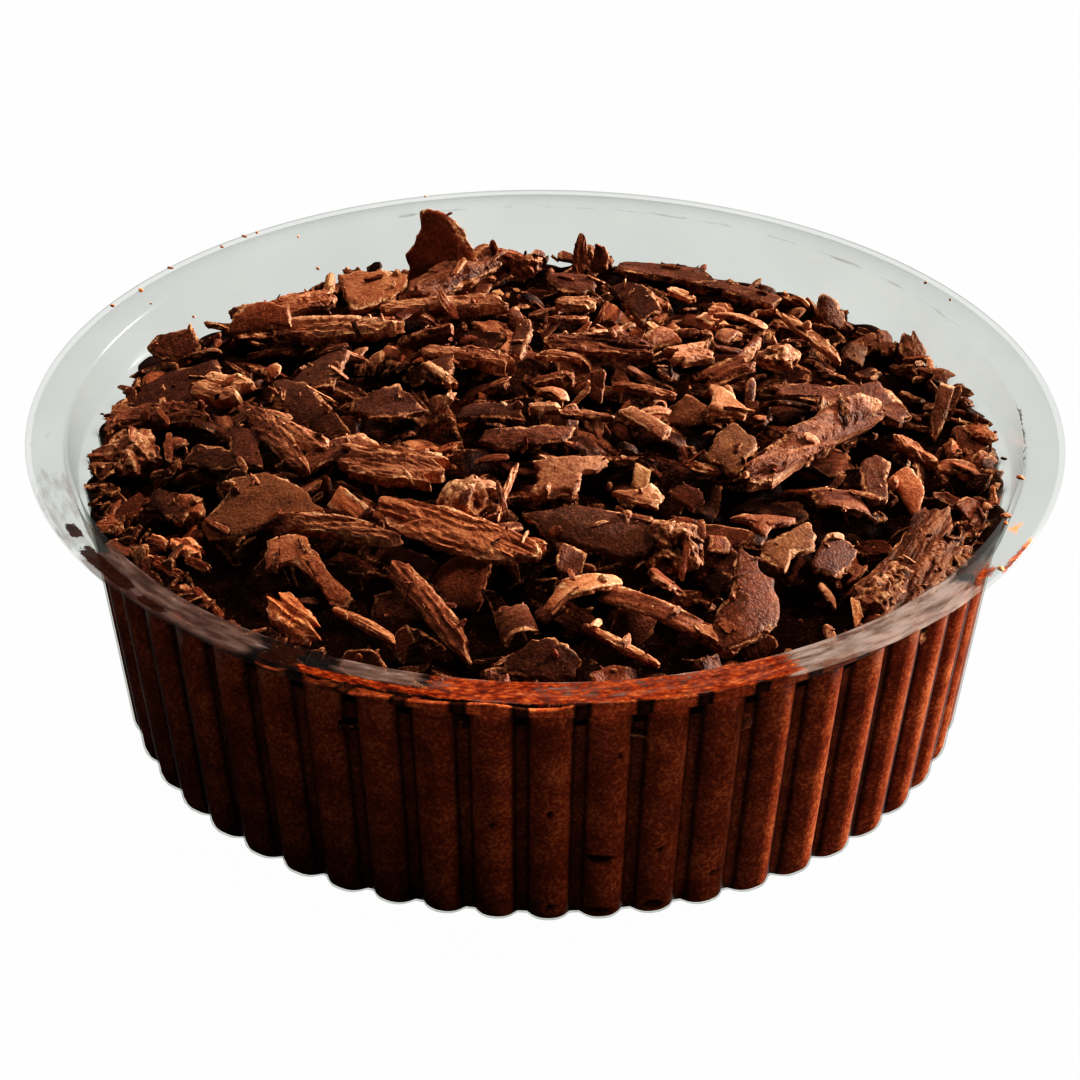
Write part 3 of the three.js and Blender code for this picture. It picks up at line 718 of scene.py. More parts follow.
def icosphere(subdivisions):
    bm = bmesh.new()
    bmesh.ops.create_icosphere(bm, subdivisions=subdivisions, radius=1)
    points = np.array([v.co[:] for v in bm.verts])
    faces = np.array([[v.index for v in f.verts] for f in bm.faces])
    bm.free()
    return points, faces


FINEST, FINER, FINE = 5, 2, 1  # how often a crumb's ball is divided
BALLS = {n: icosphere(n) for n in (FINEST, FINER, FINE)}
BREAK_COUNT = 11  # flat breaks that cut a crumb
BREAK_DEPTHS = (0.68, 0.98)
BREAK_REACH = 0.2


def lump(rng, length, width, height, subdivisions):
    """A rough broken crumb: a ball cut by flat breaks, with ridges and pits."""
    seed = int(rng.integers(1, SEED_RANGE))
    ball, faces = BALLS[subdivisions]
    radius = np.full(len(ball), 1.12)
    for _ in range(BREAK_COUNT):
        break_way = rng.normal(size=3)
        break_way /= np.linalg.norm(break_way)
        facing = ball @ break_way
        cut = rng.uniform(*BREAK_DEPTHS) / np.maximum(facing, BREAK_REACH)
        radius = np.where(facing > BREAK_REACH, np.minimum(radius, cut), radius)
    where = ball * radius[:, None] * np.array([length, width, height]) / 2
    x, y, z = where.T
    ridges = 1 - np.abs(2 * layered(x / 1.8, y / 1.8, z / 1.8, seed, 3) - 1) * 1.6
    pits = np.maximum(noise(x / 1.1, y / 1.1, z / 1.1, seed + 4) - 0.6, 0) * 2.5
    fine = noise(x / 0.45, y / 0.45, z / 0.45, seed + 5, True) - 0.5
    size = np.maximum(np.linalg.norm(where, axis=1), TINY)
    out = 0.13 * length * (ridges - 0.4) - np.minimum(0.9, 0.2 * length) * pits
    out = out + np.minimum(0.3, 0.08 * length) * fine
    points = where * (1 + np.maximum(out, -0.5 * size) / size)[:, None]
    # Lighter on the ridges and darker in the pits: painted highlight and painted shade.
    relief = np.clip(0.2 + 0.75 * ridges - 1.2 * pits + 0.8 * fine, 0, 1)
    edge = np.clip(ridges * 0.9 - 0.25 + fine, 0, 1)
    return points, [faces], edge, relief, points.copy()


# The outlines of flakes with a form of their own, by the flake's place, in halves of the length and
# the width.
OUTLINES = {
    (-12.7, 39.5): (
        (0.97, 0.56), (1, 0.03), (0.83, -0.27), (0.52, -0.68), (0.18, -0.83), (-0.11, -0.98), (-1, -1),
        (-1, 1.09), (-0.55, 1.09), (-0.28, 1.0), (0.06, 1.0), (0.24, 0.8), (0.63, 0.56),
    ),
    (-43, 14.5): ((-1, 0.6), (-0.75, 0.75), (0.52, 1), (1, -0.35), (0.35, -0.85), (-0.9, -1)),
    (-26.7, 12): ((0.86, 0.53), (1.2, -0.37), (0.86, -0.75), (-1.02, -0.73), (-1.03, -0.1), (-0.38, 0.85)),
}
# The same in millimetres from the middle of the tub, as seen from above.
FOOTPRINTS = {
    (-31.8, -17): (
        (-39, -18), (-35.8, -15.3), (-36, -12.3), (-33, -11.7), (-29.7, -12.5), (-27.5, -15.5),
        (-25, -19.8), (-30, -20.8), (-35.5, -21.3), (-38.5, -20.5),
    ),
    (-27.3, 2.3): (
        (-32.2, 11), (-28.3, 9), (-25.5, 2.8), (-22.4, -4.1), (-25, -4.2), (-29.3, 0), (-31.8, 7.3),
    ),
    (-34.8, -4): ((-36.6, 0.3), (-33.2, 0), (-32.2, -8.8), (-34, -8.3), (-36.2, -5.8)),
    (-9, -25.3): (
        (-18.8, -19.2), (-15, -20.7), (-10.7, -22.6), (-6, -25.1), (-3.2, -26.8), (0.3, -28.6),
        (-0.6, -30.8), (-4.1, -31), (-6.6, -30.2), (-9.6, -28.8), (-14.3, -26), (-17.5, -23.5), (-19, -21),
    ),
    (5, -25.8): (
        (-2.4, -23), (1.3, -22.2), (3.2, -20.4), (4.9, -21.5), (8.4, -22), (10.8, -22.5), (12.9, -24),
        (12.5, -27.5), (10.6, -28.8), (8.3, -29.3), (5.5, -28.5), (2.1, -26.9), (0, -26.2),
    ),
    (2.5, -14): (
        (-1.1, -13), (0.4, -12.2), (2.8, -12), (6.6, -11.3), (7.2, -12.4), (6.3, -13.8), (4.7, -14.3),
        (4, -16.2), (3.2, -17.3), (2, -16.9), (0.4, -17.7), (-0.8, -18.1), (-1.5, -17), (-0.6, -15.7),
    ),
    (11.2, -19.2): ((7.3, -18.6), (10.3, -18.2), (12, -16.8), (13.4, -19.3), (12.8, -20.9), (10.8, -20.3)),
    (4.3, -36): (
        (0, -38.6), (2, -35.3), (6, -33.7), (8.2, -33.2), (8.8, -34.8), (7.2, -36), (5, -37), (2.7, -37.7),
        (1.2, -39.7),
    ),
    (-0.5, -45.5): (
        (-4.6, -47.5), (-3.8, -45.4), (-2, -44.3), (-1.3, -43.2), (1, -43.2), (2.8, -44), (4, -45.8),
        (3.3, -48), (0, -48.3),
    ),
    (-26.8, -27.6): (
        (-31.2, -23.5), (-28.9, -23), (-26.5, -24.8), (-24.9, -28.5), (-23.3, -32), (-21.1, -33.6),
        (-22.5, -35.4), (-24.4, -34.6), (-25.2, -32), (-26.7, -30), (-29.1, -28), (-31.6, -28.8),
    ),
    (-27.3, -36.2): (
        (-30.4, -33), (-29.4, -33.8), (-28.2, -32.7), (-26.5, -34.6), (-25.2, -37.6), (-24.7, -39.7),
        (-26.3, -40), (-28.2, -39.9), (-29.9, -37), (-30.5, -34.7),
    ),
    (30.3, -6.5): (
        (21.9, -14), (22.9, -11.5), (25, -8), (27.5, -3.6), (29.9, -1.5), (32.1, 1.9), (35, 4.2),
        (38.2, 4.7), (38.6, 3), (37.8, 1), (34, -2.9), (32.5, -5.2), (30.5, -7.6), (28.5, -9.6),
        (27.5, -11.3), (26.3, -13.9), (23.9, -14.7),
    ),
    (35.3, 8.5): (
        (26.8, 8.4), (29.5, 10), (32.8, 10.2), (35.7, 10.7), (39, 12.7), (40.6, 11.3), (42.6, 9.2),
        (42.9, 7.5), (41.6, 4.8), (40, 5.7), (37.3, 5.4), (34, 5.7), (31.5, 6.2), (28.9, 6.8), (27, 6.2),
    ),
    (21, 3): (
        (19.2, 6), (20.5, 5.5), (21.7, 4), (23.3, 1.4), (23.1, -0.5), (21.6, 0.4), (20.4, 0), (18.8, 1.3),
        (19.3, 3.8),
    ),
    (21.3, -7.5): (
        (17.8, -9.4), (20.1, -4.6), (21.8, -2.7), (23.2, -4.1), (24.8, -6.3), (23, -10), (21.8, -13.3),
        (20.2, -10.9), (18.5, -10.5),
    ),
    (41.5, -7.2): ((39.5, -8.1), (41.3, -5.6), (42.2, -6), (43.5, -9.2), (42.6, -14.4), (41.4, -12.4)),
    (37.8, -8.5): (
        (36.2, -5.8), (38, -4), (39.8, -5.6), (39, -9), (39.2, -12.5), (37.2, -13.6), (36.2, -10.4),
    ),
    (41, -24): (
        (41.8, -14.4), (43.9, -12.6), (45.9, -12.8), (46.2, -15.9), (45.4, -18.1), (47, -17.7),
        (47.4, -19.4), (45.3, -24.7), (42.8, -29.5), (40.8, -32.1), (38.9, -34), (36.5, -34), (35, -33.1),
        (34.1, -31.4), (34.3, -29.7), (36.4, -27), (38.6, -22.7), (40.1, -19.6),
    ),
    (-47.8, -13.8): (
        (-50.4, -15.3), (-49.4, -12.6), (-46.2, -9.6), (-45.1, -11.2), (-47.2, -14.4), (-49.7, -17.6),
    ),
    (-42.3, -14): (
        (-44.7, -11.2), (-43.9, -10.1), (-42.3, -13), (-40.1, -16.1), (-41.1, -17.9), (-43, -16.1),
        (-44.3, -13.5),
    ),
    (27.3, -25): (
        (26.4, -23.6), (29.1, -20.9), (30.1, -20.7), (30.3, -25.3), (29, -26.2), (27.6, -27.2),
        (26.7, -30.4), (25.8, -29.1), (24.2, -27.3), (24.2, -25.5),
    ),
    (22.4, -36): (
        (21.4, -28.2), (23.3, -29), (23.7, -31.4), (25.3, -31.9), (25.5, -34.1), (26.2, -36.8), (26, -38.4),
        (24.6, -40), (22.5, -41.6), (20.3, -42.6), (18.9, -42), (18.6, -39.7), (19, -37.3), (19.8, -35.9),
        (20.5, -35.4), (20.9, -31.8),
    ),
    (24.5, -22.5): (
        (20.4, -22.5), (22, -21.4), (24, -21.3), (28.3, -20.6), (27.5, -22), (25.5, -23), (24.6, -24.6),
        (23.6, -23.8), (22.6, -22.6),
    ),
}

# The flakes that show most: x, y, length, width, heading, pitch, roll, lift, arc, kind, tone, tint.
# Heading is the way the long axis points, in degrees from +X. Pitch raises the far end, roll raises
# the left edge, lift is above the heap's level and arc is the bend. Tone runs from dark to pale and
# tint from olive to red.
FLAKES = [
    # back left, with the one that stands up over the rim
    (-12.7, 39.5, 10.6, 8.6, 90, 78, 0, 4.4, 10, "plate", 0.38, 0.9),
    (-11.3, 37.2, 14, 5, 40, 12, 25, 2.4, 12, "bark", 0.3, -0.1),
    (-5.6, 42.6, 8.5, 3.4, -8, 0, 0, 3.1, 130, "bark", 0.36, 0.5),
    (-20.5, 34.8, 9.5, 7.5, 8, 0, 28, 1.7, 15, "plate", 0.6, 0.4),
    (-34.6, 26.6, 9, 4.8, -8, 0, 42, 2.9, 10, "plate", 0.42, 0.7),
    (-44.2, 21.6, 7, 5, 12, 0, 45, 3.4, 8, "plate", 0.28, 0.3),
    (-24.5, 25.5, 14, 5, -14, 0, 12, 0.6, 15, "bark", 0.57, 0.1),
    (-12.5, 29.5, 18, 3.2, -2, 0, 20, 0.8, 8, "bark", 0.48, 0.1),
    # back
    (3, 38, 7.5, 6.5, -15, 0, 10, 0.5, 12, "plate", 0.25, 0.2),
    (15, 44, 14, 8, -6, 0, 4, 1.2, 10, "plate", 0.25, 0.1),
    (24.5, 40, 10, 5, -24, 0, 10, 0.5, 10, "plate", 0.28, 0.0),
    (11, 31, 16, 4.5, -74, 0, 28, 0.6, 12, "plate", 0.22, 0.1),
    (5.7, 17, 14.5, 4.2, 0, 0, 25, 0.6, 6, "bark", 0.3, 0.0),
    (-9.2, 13, 13.5, 4, -22, 0, 10, 0.8, 20, "bark", 0.48, 0.1),
    (-3, 17.5, 12.5, 3.2, 80, 5, -28, 0.6, 12, "plate", 0.3, 0.0),
    # left
    (-43, 14.5, 12.5, 11.5, -8, 0, 5, 0.5, 8, "plate", 0.2, 0.1),
    (-38, 10.5, 9, 4.5, -40, 0, 18, 1.1, 10, "bark", 0.6, 0.4),
    (-26.7, 12, 9.5, 8, 80, 0, -12, 0.5, 12, "plate", 0.25, -0.2),
    (-27.3, 2.3, 15, 6, -50, 0, 15, 0.7, 10, "plate", 0.25, -0.2),
    (-46, 8, 15, 4.2, -12, 0, 8, 0.8, 6, "bark", 0.35, 0.1),
    (-48, 0.5, 6.5, 6, 30, 0, 0, 0.6, 10, "crumb", 0.42, 0.1),
    (-38, -5, 9, 5, -35, 0, 10, 0.3, 10, "plate", 0.2, 0.0),
    (-31.3, -2.5, 18, 3.5, -64, 0, 22, 1.0, 14, "bark", 0.45, 0.1),
    (-31.8, -17, 14, 9.5, -4, 0, 6, 0.8, 10, "plate", 0.38, -0.35),
    (-42.5, -12.5, 8, 4.5, -40, 0, 5, 0.2, 10, "plate", 0.15, 0.5),
    # middle
    (-23.5, -7.5, 10.5, 4, 25, 0, 10, 0.5, 30, "plate", 0.35, 0.1),
    (-17.8, 0.5, 9.5, 7, 35, 0, 10, 0.8, 10, "plate", 0.2, 0.0),
    (-17, -12, 13, 6, -20, 0, 10, 0.7, 10, "bark", 0.53, 0.1),
    (-6, -0.5, 8.5, 4.5, -3, 0, 0, 0.2, 10, "plate", 0.15, 0.0),
    (-2, -6.5, 13.5, 4.5, 6, 0, 14, 0.4, 12, "plate", 0.28, 0.1),
    (2.5, -14, 10.5, 5.5, 8, 0, 14, 0.6, 12, "plate", 0.55, 0.0),
    (11.2, -19.2, 7, 4, -8, 0, 10, 1.0, 10, "plate", 0.6, 0.2),
    (-8.3, -19.5, 6, 5.5, 20, 0, 0, 0.7, 10, "crumb", 0.5, -0.1),
    (-9, -25.3, 22.5, 5.5, -32, 0, 12, 1.4, 8, "bark", 0.56, 0.6),
    (5, -25.8, 16.5, 6.5, -12, 0, 10, 0.8, 10, "plate", 0.2, -0.2),
    (14.5, -25.5, 7.5, 6.5, -15, 0, 0, 0.4, 10, "crumb", 0.3, 0.1),
    # front
    (4.3, -36, 11, 3, 28, 0, 0, 1.8, 70, "curl", 0.55, 0.7),
    (12, -38, 14, 3.5, -22, 0, 12, 1.2, 45, "curl", 0.45, 0.4),
    (8.3, -43.2, 12, 1.5, -33, 0, 0, 0.6, 8, "splinter", 0.5, 0.4),
    (-0.5, -45.5, 8.5, 6, 0, 0, 12, 0.8, 15, "plate", 0.15, 0.2),
    (-12.5, -37.5, 18, 3.2, -58, 0, 22, 0.9, 22, "bark", 0.35, 0.4),
    (-26.8, -27.6, 15, 6, -48, 0, 10, 0.8, 35, "plate", 0.57, 0.5),
    (-23, -23.3, 16, 3, -24, 0, 14, 1.2, 10, "bark", 0.6, 0.2),
    (-27.3, -36.2, 9.5, 6, -50, 0, 14, 0.7, 10, "bark", 0.66, 1.1),
    (-19.5, -39.5, 10.5, 1.6, -40, 0, 0, 0.6, 8, "splinter", 0.55, 0.6),
    # right
    (31.8, 25, 14.5, 2.3, -62, 0, 15, 0.8, 6, "splinter", 0.6, 0.0),
    (37, 24, 8, 3.5, 75, 0, 12, 0.3, 12, "plate", 0.25, -0.6),
    (34.5, 34, 4.6, 4.2, 110, 60, 0, 1.6, 20, "plate", 0.3, 0.1),
    (23.5, 28, 8, 2.6, -25, 0, 0, 0.8, 45, "curl", 0.5, 0.2),
    (35.3, 8.5, 16.5, 6.5, -12, 0, 8, 0.7, 8, "plate", 0.27, 0.1),
    (30.3, -6.5, 20, 6.5, 33, 0, 10, 1.2, 10, "bark", 0.33, 0.1),
    (21.3, -7.5, 8.5, 7.5, -25, 0, 8, 0.8, 10, "plate", 0.34, -0.5),
    (21, 3, 7.5, 5, -48, 0, 8, 0.9, 10, "plate", 0.68, 0.3),
    (41.5, -7.2, 8, 4.6, -58, 0, 8, 1.0, 6, "plate", 0.5, 0.8),
    (41, -24, 25, 10, 70, 0, -5, 0.9, 8, "bark", 0.27, -0.1),
    (36.5, -31.5, 5, 4, 60, 0, 0, 1.3, 10, "crumb", 0.28, 0.1),
    (39.3, -27.5, 5.5, 3.2, 70, 0, 0, 1.3, 10, "crumb", 0.26, 0.3),
    (27.3, -25, 10, 5.5, 62, 0, -6, 1.0, 12, "plate", 0.4, -0.4),
    (22.4, -36, 14, 7.5, 90, 8, 0, 1.3, 8, "plate", 0.3, 0.3),
    (33.5, -14, 8, 5, 5, 0, 0, 0.3, 50, "curl", 0.25, 0.3),
    (32.5, -24, 9, 5, 65, 0, 10, 0, 12, "plate", 0.2, 0.3),
    (46.3, 9.5, 7.5, 2.6, 85, 48, 0, 1.6, 10, "plate", 0.35, -0.1),
    (48.5, -1.5, 6.5, 3, 10, 0, 0, 0.6, 60, "curl", 0.4, 0.3),
    # the smaller ones between them
    (-29.5, 36.5, 9, 4, 20, 0, 30, 0.6, 10, "bark", 0.4, 0.4),
    (4, 46, 4.5, 2.6, 90, 70, 0, 2.0, 10, "splinter", 0.3, 0.4),
    (6.5, 46, 4.4, 3.2, 60, 65, 0, 1.8, 30, "plate", 0.35, 0.6),
    (-2.5, 44, 5, 3.5, 10, 20, 0, 1.2, 80, "curl", 0.2, 0.3),
    (-2.6, 42.4, 3.6, 3.2, 10, 0, 0, 2.0, 10, "crumb", 0.2, 0.4),
    (-8.3, 41.6, 3.2, 3, 10, 0, 0, 2.0, 10, "crumb", 0.25, 0.2),
    (13, 31.5, 8, 1.6, -62, 0, 0, 0.9, 8, "splinter", 0.5, 0.1),
    (16.5, 34.5, 5, 2, -50, 0, 10, 0.8, 8, "splinter", 0.6, 0.3),
    (2.5, 23.3, 6.5, 1.5, 0, 0, 0, 0.7, 8, "splinter", 0.45, 0.2),
    (3.5, 29, 5, 2.5, 5, 0, 8, 0.9, 8, "bark", 0.55, 0.1),
    (1.5, 12.5, 7, 2, -10, 0, 10, 0.7, 30, "splinter", 0.5, 0.2),
    (-34.8, -4, 7, 4.5, 85, 0, 10, 0.5, 10, "plate", 0.22, 0.1),
    (-28.3, -4, 8.5, 3, -50, 0, 25, 1.1, 10, "bark", 0.4, 0.2),
    (-12.2, 6.5, 7.5, 1.7, -60, 0, 0, 1.4, 8, "splinter", 0.62, 0.2),
    (-12.5, 10, 8, 5, 85, 0, -15, 0.4, 12, "plate", 0.25, -0.1),
    (-43, 0, 4.5, 3.5, 30, 0, 0, 0.5, 120, "curl", 0.35, 0.2),
    (0, -1, 4, 1.5, 5, 0, 0, 1.0, 10, "bark", 0.65, 0.2),
    (4.7, -2.5, 6, 1.5, -8, 0, 0, 0.8, 8, "splinter", 0.3, 0.1),
    (0.7, 3, 4.5, 2.2, 150, 0, 0, 0.9, 120, "curl", 0.5, 0.3),
    (6, 3.5, 5, 2.3, 80, 50, 0, 1.4, 10, "plate", 0.35, 0.5),
    (11.5, -3.3, 7.5, 3, -50, 0, 8, 0.9, 10, "plate", 0.55, 0.0),
    (11.7, 4.3, 7.5, 2, -16, 0, 8, 0.8, 20, "splinter", 0.5, 0.2),
    (12.5, -1, 5, 2, 20, 0, 0, 0.9, 80, "curl", 0.5, 0.2),
    (-4.2, -18, 12.5, 1.2, 78, 0, 0, 0.9, 30, "splinter", 0.5, 0.2),
    (2.8, -31, 5.5, 4.5, 70, 0, 12, 0.8, 10, "plate", 0.25, 0.0),
    (-3, -39.5, 7, 6, 20, 0, 0, 0.4, 200, "curl", 0.25, 0.0),
    (-40.3, -21.8, 5.2, 2.4, -48, 0, 10, 0.6, 10, "bark", 0.7, 0.9),
    (-43.5, -19.6, 2.8, 1.4, -45, 0, 0, 0.6, 10, "bark", 0.6, 0.8),
    (-44.7, -21.8, 3.2, 1.6, -30, 0, 0, 0.6, 10, "bark", 0.64, 0.9),
    (-47.8, -13.8, 9.5, 5.5, 55, 0, 8, 0.5, 10, "plate", 0.2, 0.9),
    (-42.3, -14, 8, 3.5, -62, 0, 10, 0.8, 10, "plate", 0.26, 0.0),
    (-40.2, -14.4, 5, 3, -60, 0, 10, 0.7, 10, "bark", 0.32, 0.7),
    (-42.3, -25.2, 7, 1.6, -46, 0, 10, 0.5, 8, "splinter", 0.3, 1.0),
    (-38.7, -25.3, 5.5, 1.4, -38, 0, 10, 0.5, 8, "splinter", 0.26, 1.0),
    (-37.4, -32.5, 8, 1.8, -59, 0, 10, 0.6, 8, "splinter", 0.3, 1.0),
    (-40.2, -30.5, 7, 3.5, -60, 0, 0, 0.5, 60, "curl", 0.27, 1.0),
    (-44.3, -26, 6.5, 3.5, -50, 0, 10, 0.4, 10, "plate", 0.14, 0.8),
    (41, 29, 4, 3, 120, 30, 0, 1.0, 20, "plate", 0.3, 0.2),
    (43, -1, 7.5, 2, -38, 0, 10, 0.9, 8, "bark", 0.5, 0.4),
    (37.8, -8.5, 7, 4, -75, 0, 10, 0.6, 10, "plate", 0.27, -0.1),
    (24.5, -22.5, 8, 3, -5, 0, 6, 1.5, 15, "plate", 0.42, 0.4),
    (49.5, 6, 6, 3.5, -50, 0, 20, 0.5, 10, "plate", 0.25, 0.3),
    (49, -9.5, 7, 5, 60, 0, 15, 0.4, 10, "plate", 0.3, 0.7),
    (38.5, -28.5, 4, 3.5, 20, 0, 0, 0.8, 10, "crumb", 0.4, 0.1),
    (21.8, 22.5, 5, 2.5, 60, 0, 0, 0.7, 90, "curl", 0.35, 0.1),
    (27.3, 18, 5, 4, 30, 0, 0, 0.6, 10, "crumb", 0.4, 0.1),
    (16.8, 15, 5.5, 3.5, 30, 0, 10, 0.8, 10, "bark", 0.55, 0.3),
    (21, 31.5, 3, 2.5, 10, 0, 0, 0.8, 10, "bark", 0.6, 0.4),
    (21, 41.5, 7, 4, 10, 0, 10, 0.6, 10, "plate", 0.2, 0.1),
    (48.3, 12.6, 3.6, 0.5, 80, 66, 0, 1.7, 40, "splinter", 0.25, 0.2),
    (50.4, 8.2, 3.4, 0.5, 100, 60, 0, 1.6, 50, "splinter", 0.3, 0.3),
    (51.6, 1.6, 4.4, 0.55, 95, 52, 0, 1.6, 60, "splinter", 0.25, 0.2),
]

LISTED_CELL = 0.28  # how finely they are meshed
LISTED_SEED = 100
CRUMB_HEIGHT = 0.75  # of its width
CRUMB_SINK = 0.3

# Deep gaps between the flakes: middle and radius.
HOLLOWS = (
    (-10, -33.5, 4.2), (-15, -31, 1.6), (5, -39.5, 1.6), (9, -41, 1.6), (13, -42.5, 1.6), (7.5, -31, 2),
    (30, -16.5, 3.6), (20, -16.5, 1.8), (24.5, -16.5, 1.8), (28.5, -29, 1.6), (31.5, -33.5, 2.2),
    (28, -38.5, 1.6), (-45, 3.8, 1.6), (-40, -8.5, 1.8), (-35, -24.5, 2.2), (-34.5, -31, 2.2),
    (-22, -27.5, 1.8), (-20, -37, 1.5), (-9, -14.3, 1.8), (1, -19, 1.4), (9.5, -14.5, 1.6),
    (-30, 23.5, 1.5), (-27, 23.5, 1.5), (-24.5, 23, 1.5),
)
# Where the flakes that fill the heap are painted darker, as shade: middle and radius.
PAINTED_SHADE_SPOTS = (
    (-38, -30, 9), (-44, -20, 8), (28, -20, 8), (14, -45, 6), (-30, -42, 8), (-12, -50, 8), (2, -51, 7),
)
PAINTED_SHADE_FACTOR = 0.55


def in_hollow(x, y, spare=0.0):
    return any(math.hypot(x - hx, y - hy) < size + spare for hx, hy, size in HOLLOWS)


def in_flakes(x, y, spare):
    """Whether (x, y) is over one of the listed flakes."""
    for fx, fy, length, width, heading, *_ in FLAKES:
        turn = math.radians(heading)
        dx, dy = x - fx, y - fy
        along = dx * math.cos(turn) + dy * math.sin(turn)
        across = -dx * math.sin(turn) + dy * math.cos(turn)
        if abs(along) < length / 2 - spare and abs(across) < width / 2 - spare:
            return True
    return False


def spiral(count, reach, rng, jitter):
    """Places spread evenly over the heap."""
    golden = math.pi * (3 - math.sqrt(5))
    steps = np.arange(count) + 0.5
    radius = reach * np.sqrt(steps / count)
    x = radius * np.cos(steps * golden) + rng.uniform(-jitter, jitter, count)
    y = radius * np.sin(steps * golden) + rng.uniform(-jitter, jitter, count)
    return list(zip(x, y))


def add_flake(batch, rng, kind, placed, faces, edge, relief, place, tone, tint):
    """Adds a flake: its `look` is tone, worn edge, relief and tint."""
    crisp = 1 if kind == "crumb" else len(faces) - (kind in ("plate", "curl"))
    look = np.stack([np.full(len(edge), tone), edge, relief, np.full(len(edge), tint)], axis=-1)
    batch.add(placed, faces, look, place + rng.uniform(-50, 50, 3), crisp)


def in_halves(points, x, y, length, width, heading):
    """An outline seen from above, turned into halves of the flake's length and width."""
    turn = math.radians(heading)
    away = np.asarray(points) - (x, y)
    along = away @ (math.cos(turn), math.sin(turn))
    across = away @ (-math.sin(turn), math.cos(turn))
    return np.stack([along * 2 / length, across * 2 / width], axis=-1)


def listed_flakes(batches):
    for number, row in enumerate(FLAKES):
        x, y, length, width, heading, pitch, roll, lift, arc, kind, tone, tint = row
        rng = np.random.default_rng(LISTED_SEED + number)
        if kind == "crumb":
            made = lump(rng, length, width, CRUMB_HEIGHT * width, FINEST)
            thick = CRUMB_SINK * width
        else:
            outline = OUTLINES.get((x, y))
            if (x, y) in FOOTPRINTS:
                outline = in_halves(FOOTPRINTS[x, y], x, y, length, width, heading)
            made = sheet(rng, length, width, kind, arc, LISTED_CELL, outline,
                         cross=rng.uniform(-25, 40), twist=rng.uniform(-18, 18))
            thick = KINDS[kind]["thick"]
        placed = lay(made[0], x, y, heading, pitch, roll, lift - thick / 2)
        add_flake(batches[kind], rng, kind, placed, *made[1:], tone, tint)


# The flakes under and between the listed ones, from the lowest layer up: how many, out to which
# radius, least and most length, least and most lift, steepest tilt, cell size and piece.
LAYERS = (
    (110, 49.5, (8, 14), (-5.8, -4.2), 16, 0.9, "under"),
    (220, 50.8, (5, 10), (-4.0, -2.0), 32, 0.6, "under"),
    (300, 51.4, (3, 7), (-2.4, -0.5), 45, 0.4, "small"),
)
LAYER_JITTER = 1.6
# The same for those by the wall and the collar, without the first two.
WALL_LAYER = ((2.8, 5.5), (-0.9, 0.7), 38, 0.4, "edge")
COLLAR_LAYER = ((2.5, 5.0), (0.4, 1.2), 30, 0.35, "edge")
WALL_FLAKES = 150
WALL_RADII = (49.6, 51.6)
COLLAR_FLAKES = 56
COLLAR_RADII = (51.4, 52.6)
COLLAR_STRETCHES = ((-28, 32), (158, 205))
DEEPEST_LIFT = -4.2
FILLING_KINDS = ("plate", "plate", "bark", "splinter", "curl", "plate")
SPLINTER_SHARE = 0.26  # width over length


def filling_flakes(batches):
    rng = np.random.default_rng(4)
    turns = np.arange(WALL_FLAKES) * 2 * math.pi / WALL_FLAKES
    radii = rng.uniform(*WALL_RADII, WALL_FLAKES)
    by_the_wall = list(zip(radii * np.cos(turns), radii * np.sin(turns)))
    stretches = [np.linspace(*ends, COLLAR_FLAKES // 2) for ends in COLLAR_STRETCHES]
    turns = np.radians(np.concatenate(stretches))
    radii = rng.uniform(*COLLAR_RADII, COLLAR_FLAKES)
    by_the_collar = list(zip(radii * np.cos(turns), radii * np.sin(turns)))
    layers = [(spiral(row[0], row[1], rng, LAYER_JITTER), *row[2:]) for row in LAYERS]
    layers += [(by_the_wall, *WALL_LAYER), (by_the_collar, *COLLAR_LAYER)]
    for places, lengths, lifts, tilt, cell, name in layers:
        for x, y in places:
            kind = FILLING_KINDS[int(rng.integers(len(FILLING_KINDS)))]
            length = rng.uniform(*lengths)
            share = SPLINTER_SHARE if kind == "splinter" else rng.uniform(0.4, 0.8)
            tone = float(np.clip(rng.normal(0.3, 0.17), 0.06, 0.8))
            tint = rng.uniform(-0.4, 0.9)
            arc = rng.uniform(60, 150) if kind == "curl" else rng.uniform(4, 30)
            turns = (rng.uniform(0, 360), rng.uniform(-tilt, tilt), rng.uniform(-tilt, tilt))
            lift = rng.uniform(*lifts)
            # Painted shade: flakes that lie lower in the heap get a darker tone.
            tone = max(0.02, tone + 0.06 * min(0, lift + 0.8))
            # Painted shade: flakes in these spots get a darker tone.
            if any(math.hypot(x - sx, y - sy) < size for sx, sy, size in PAINTED_SHADE_SPOTS):
                tone *= PAINTED_SHADE_FACTOR
            if name == "small" and in_flakes(x, y, 0.6):
                continue
            if lift > DEEPEST_LIFT and in_hollow(x, y, 0.3 * length):
                continue
            made = sheet(rng, length, length * share, kind, arc, cell,
                         cross=rng.uniform(-30, 50), twist=rng.uniform(-25, 25))
            placed = lay(made[0], x, y, *turns, lift)
            add_flake(batches[name], rng, kind, placed, *made[1:], tone, tint)


class Skyline:
    """The height of what lies on the heap, cell by cell."""

    REACH = 56
    CELL = 0.5

    def __init__(self, batches):
        self.last = int(2 * self.REACH / self.CELL)
        self.height = np.full((self.last + 1, self.last + 1), MOUSSE_TOP + 0.5)
        for batch in batches:
            for points in batch.points:
                np.maximum.at(self.height, self.index(points[:, 0], points[:, 1]), points[:, 2])

    def index(self, x, y):
        cells = (np.round((np.asarray(v) + self.REACH) / self.CELL).astype(int) for v in (x, y))
        return tuple(np.clip(cell, 0, self.last) for cell in cells)

    def at(self, x, y):
        return float(self.height[self.index(x, y)])


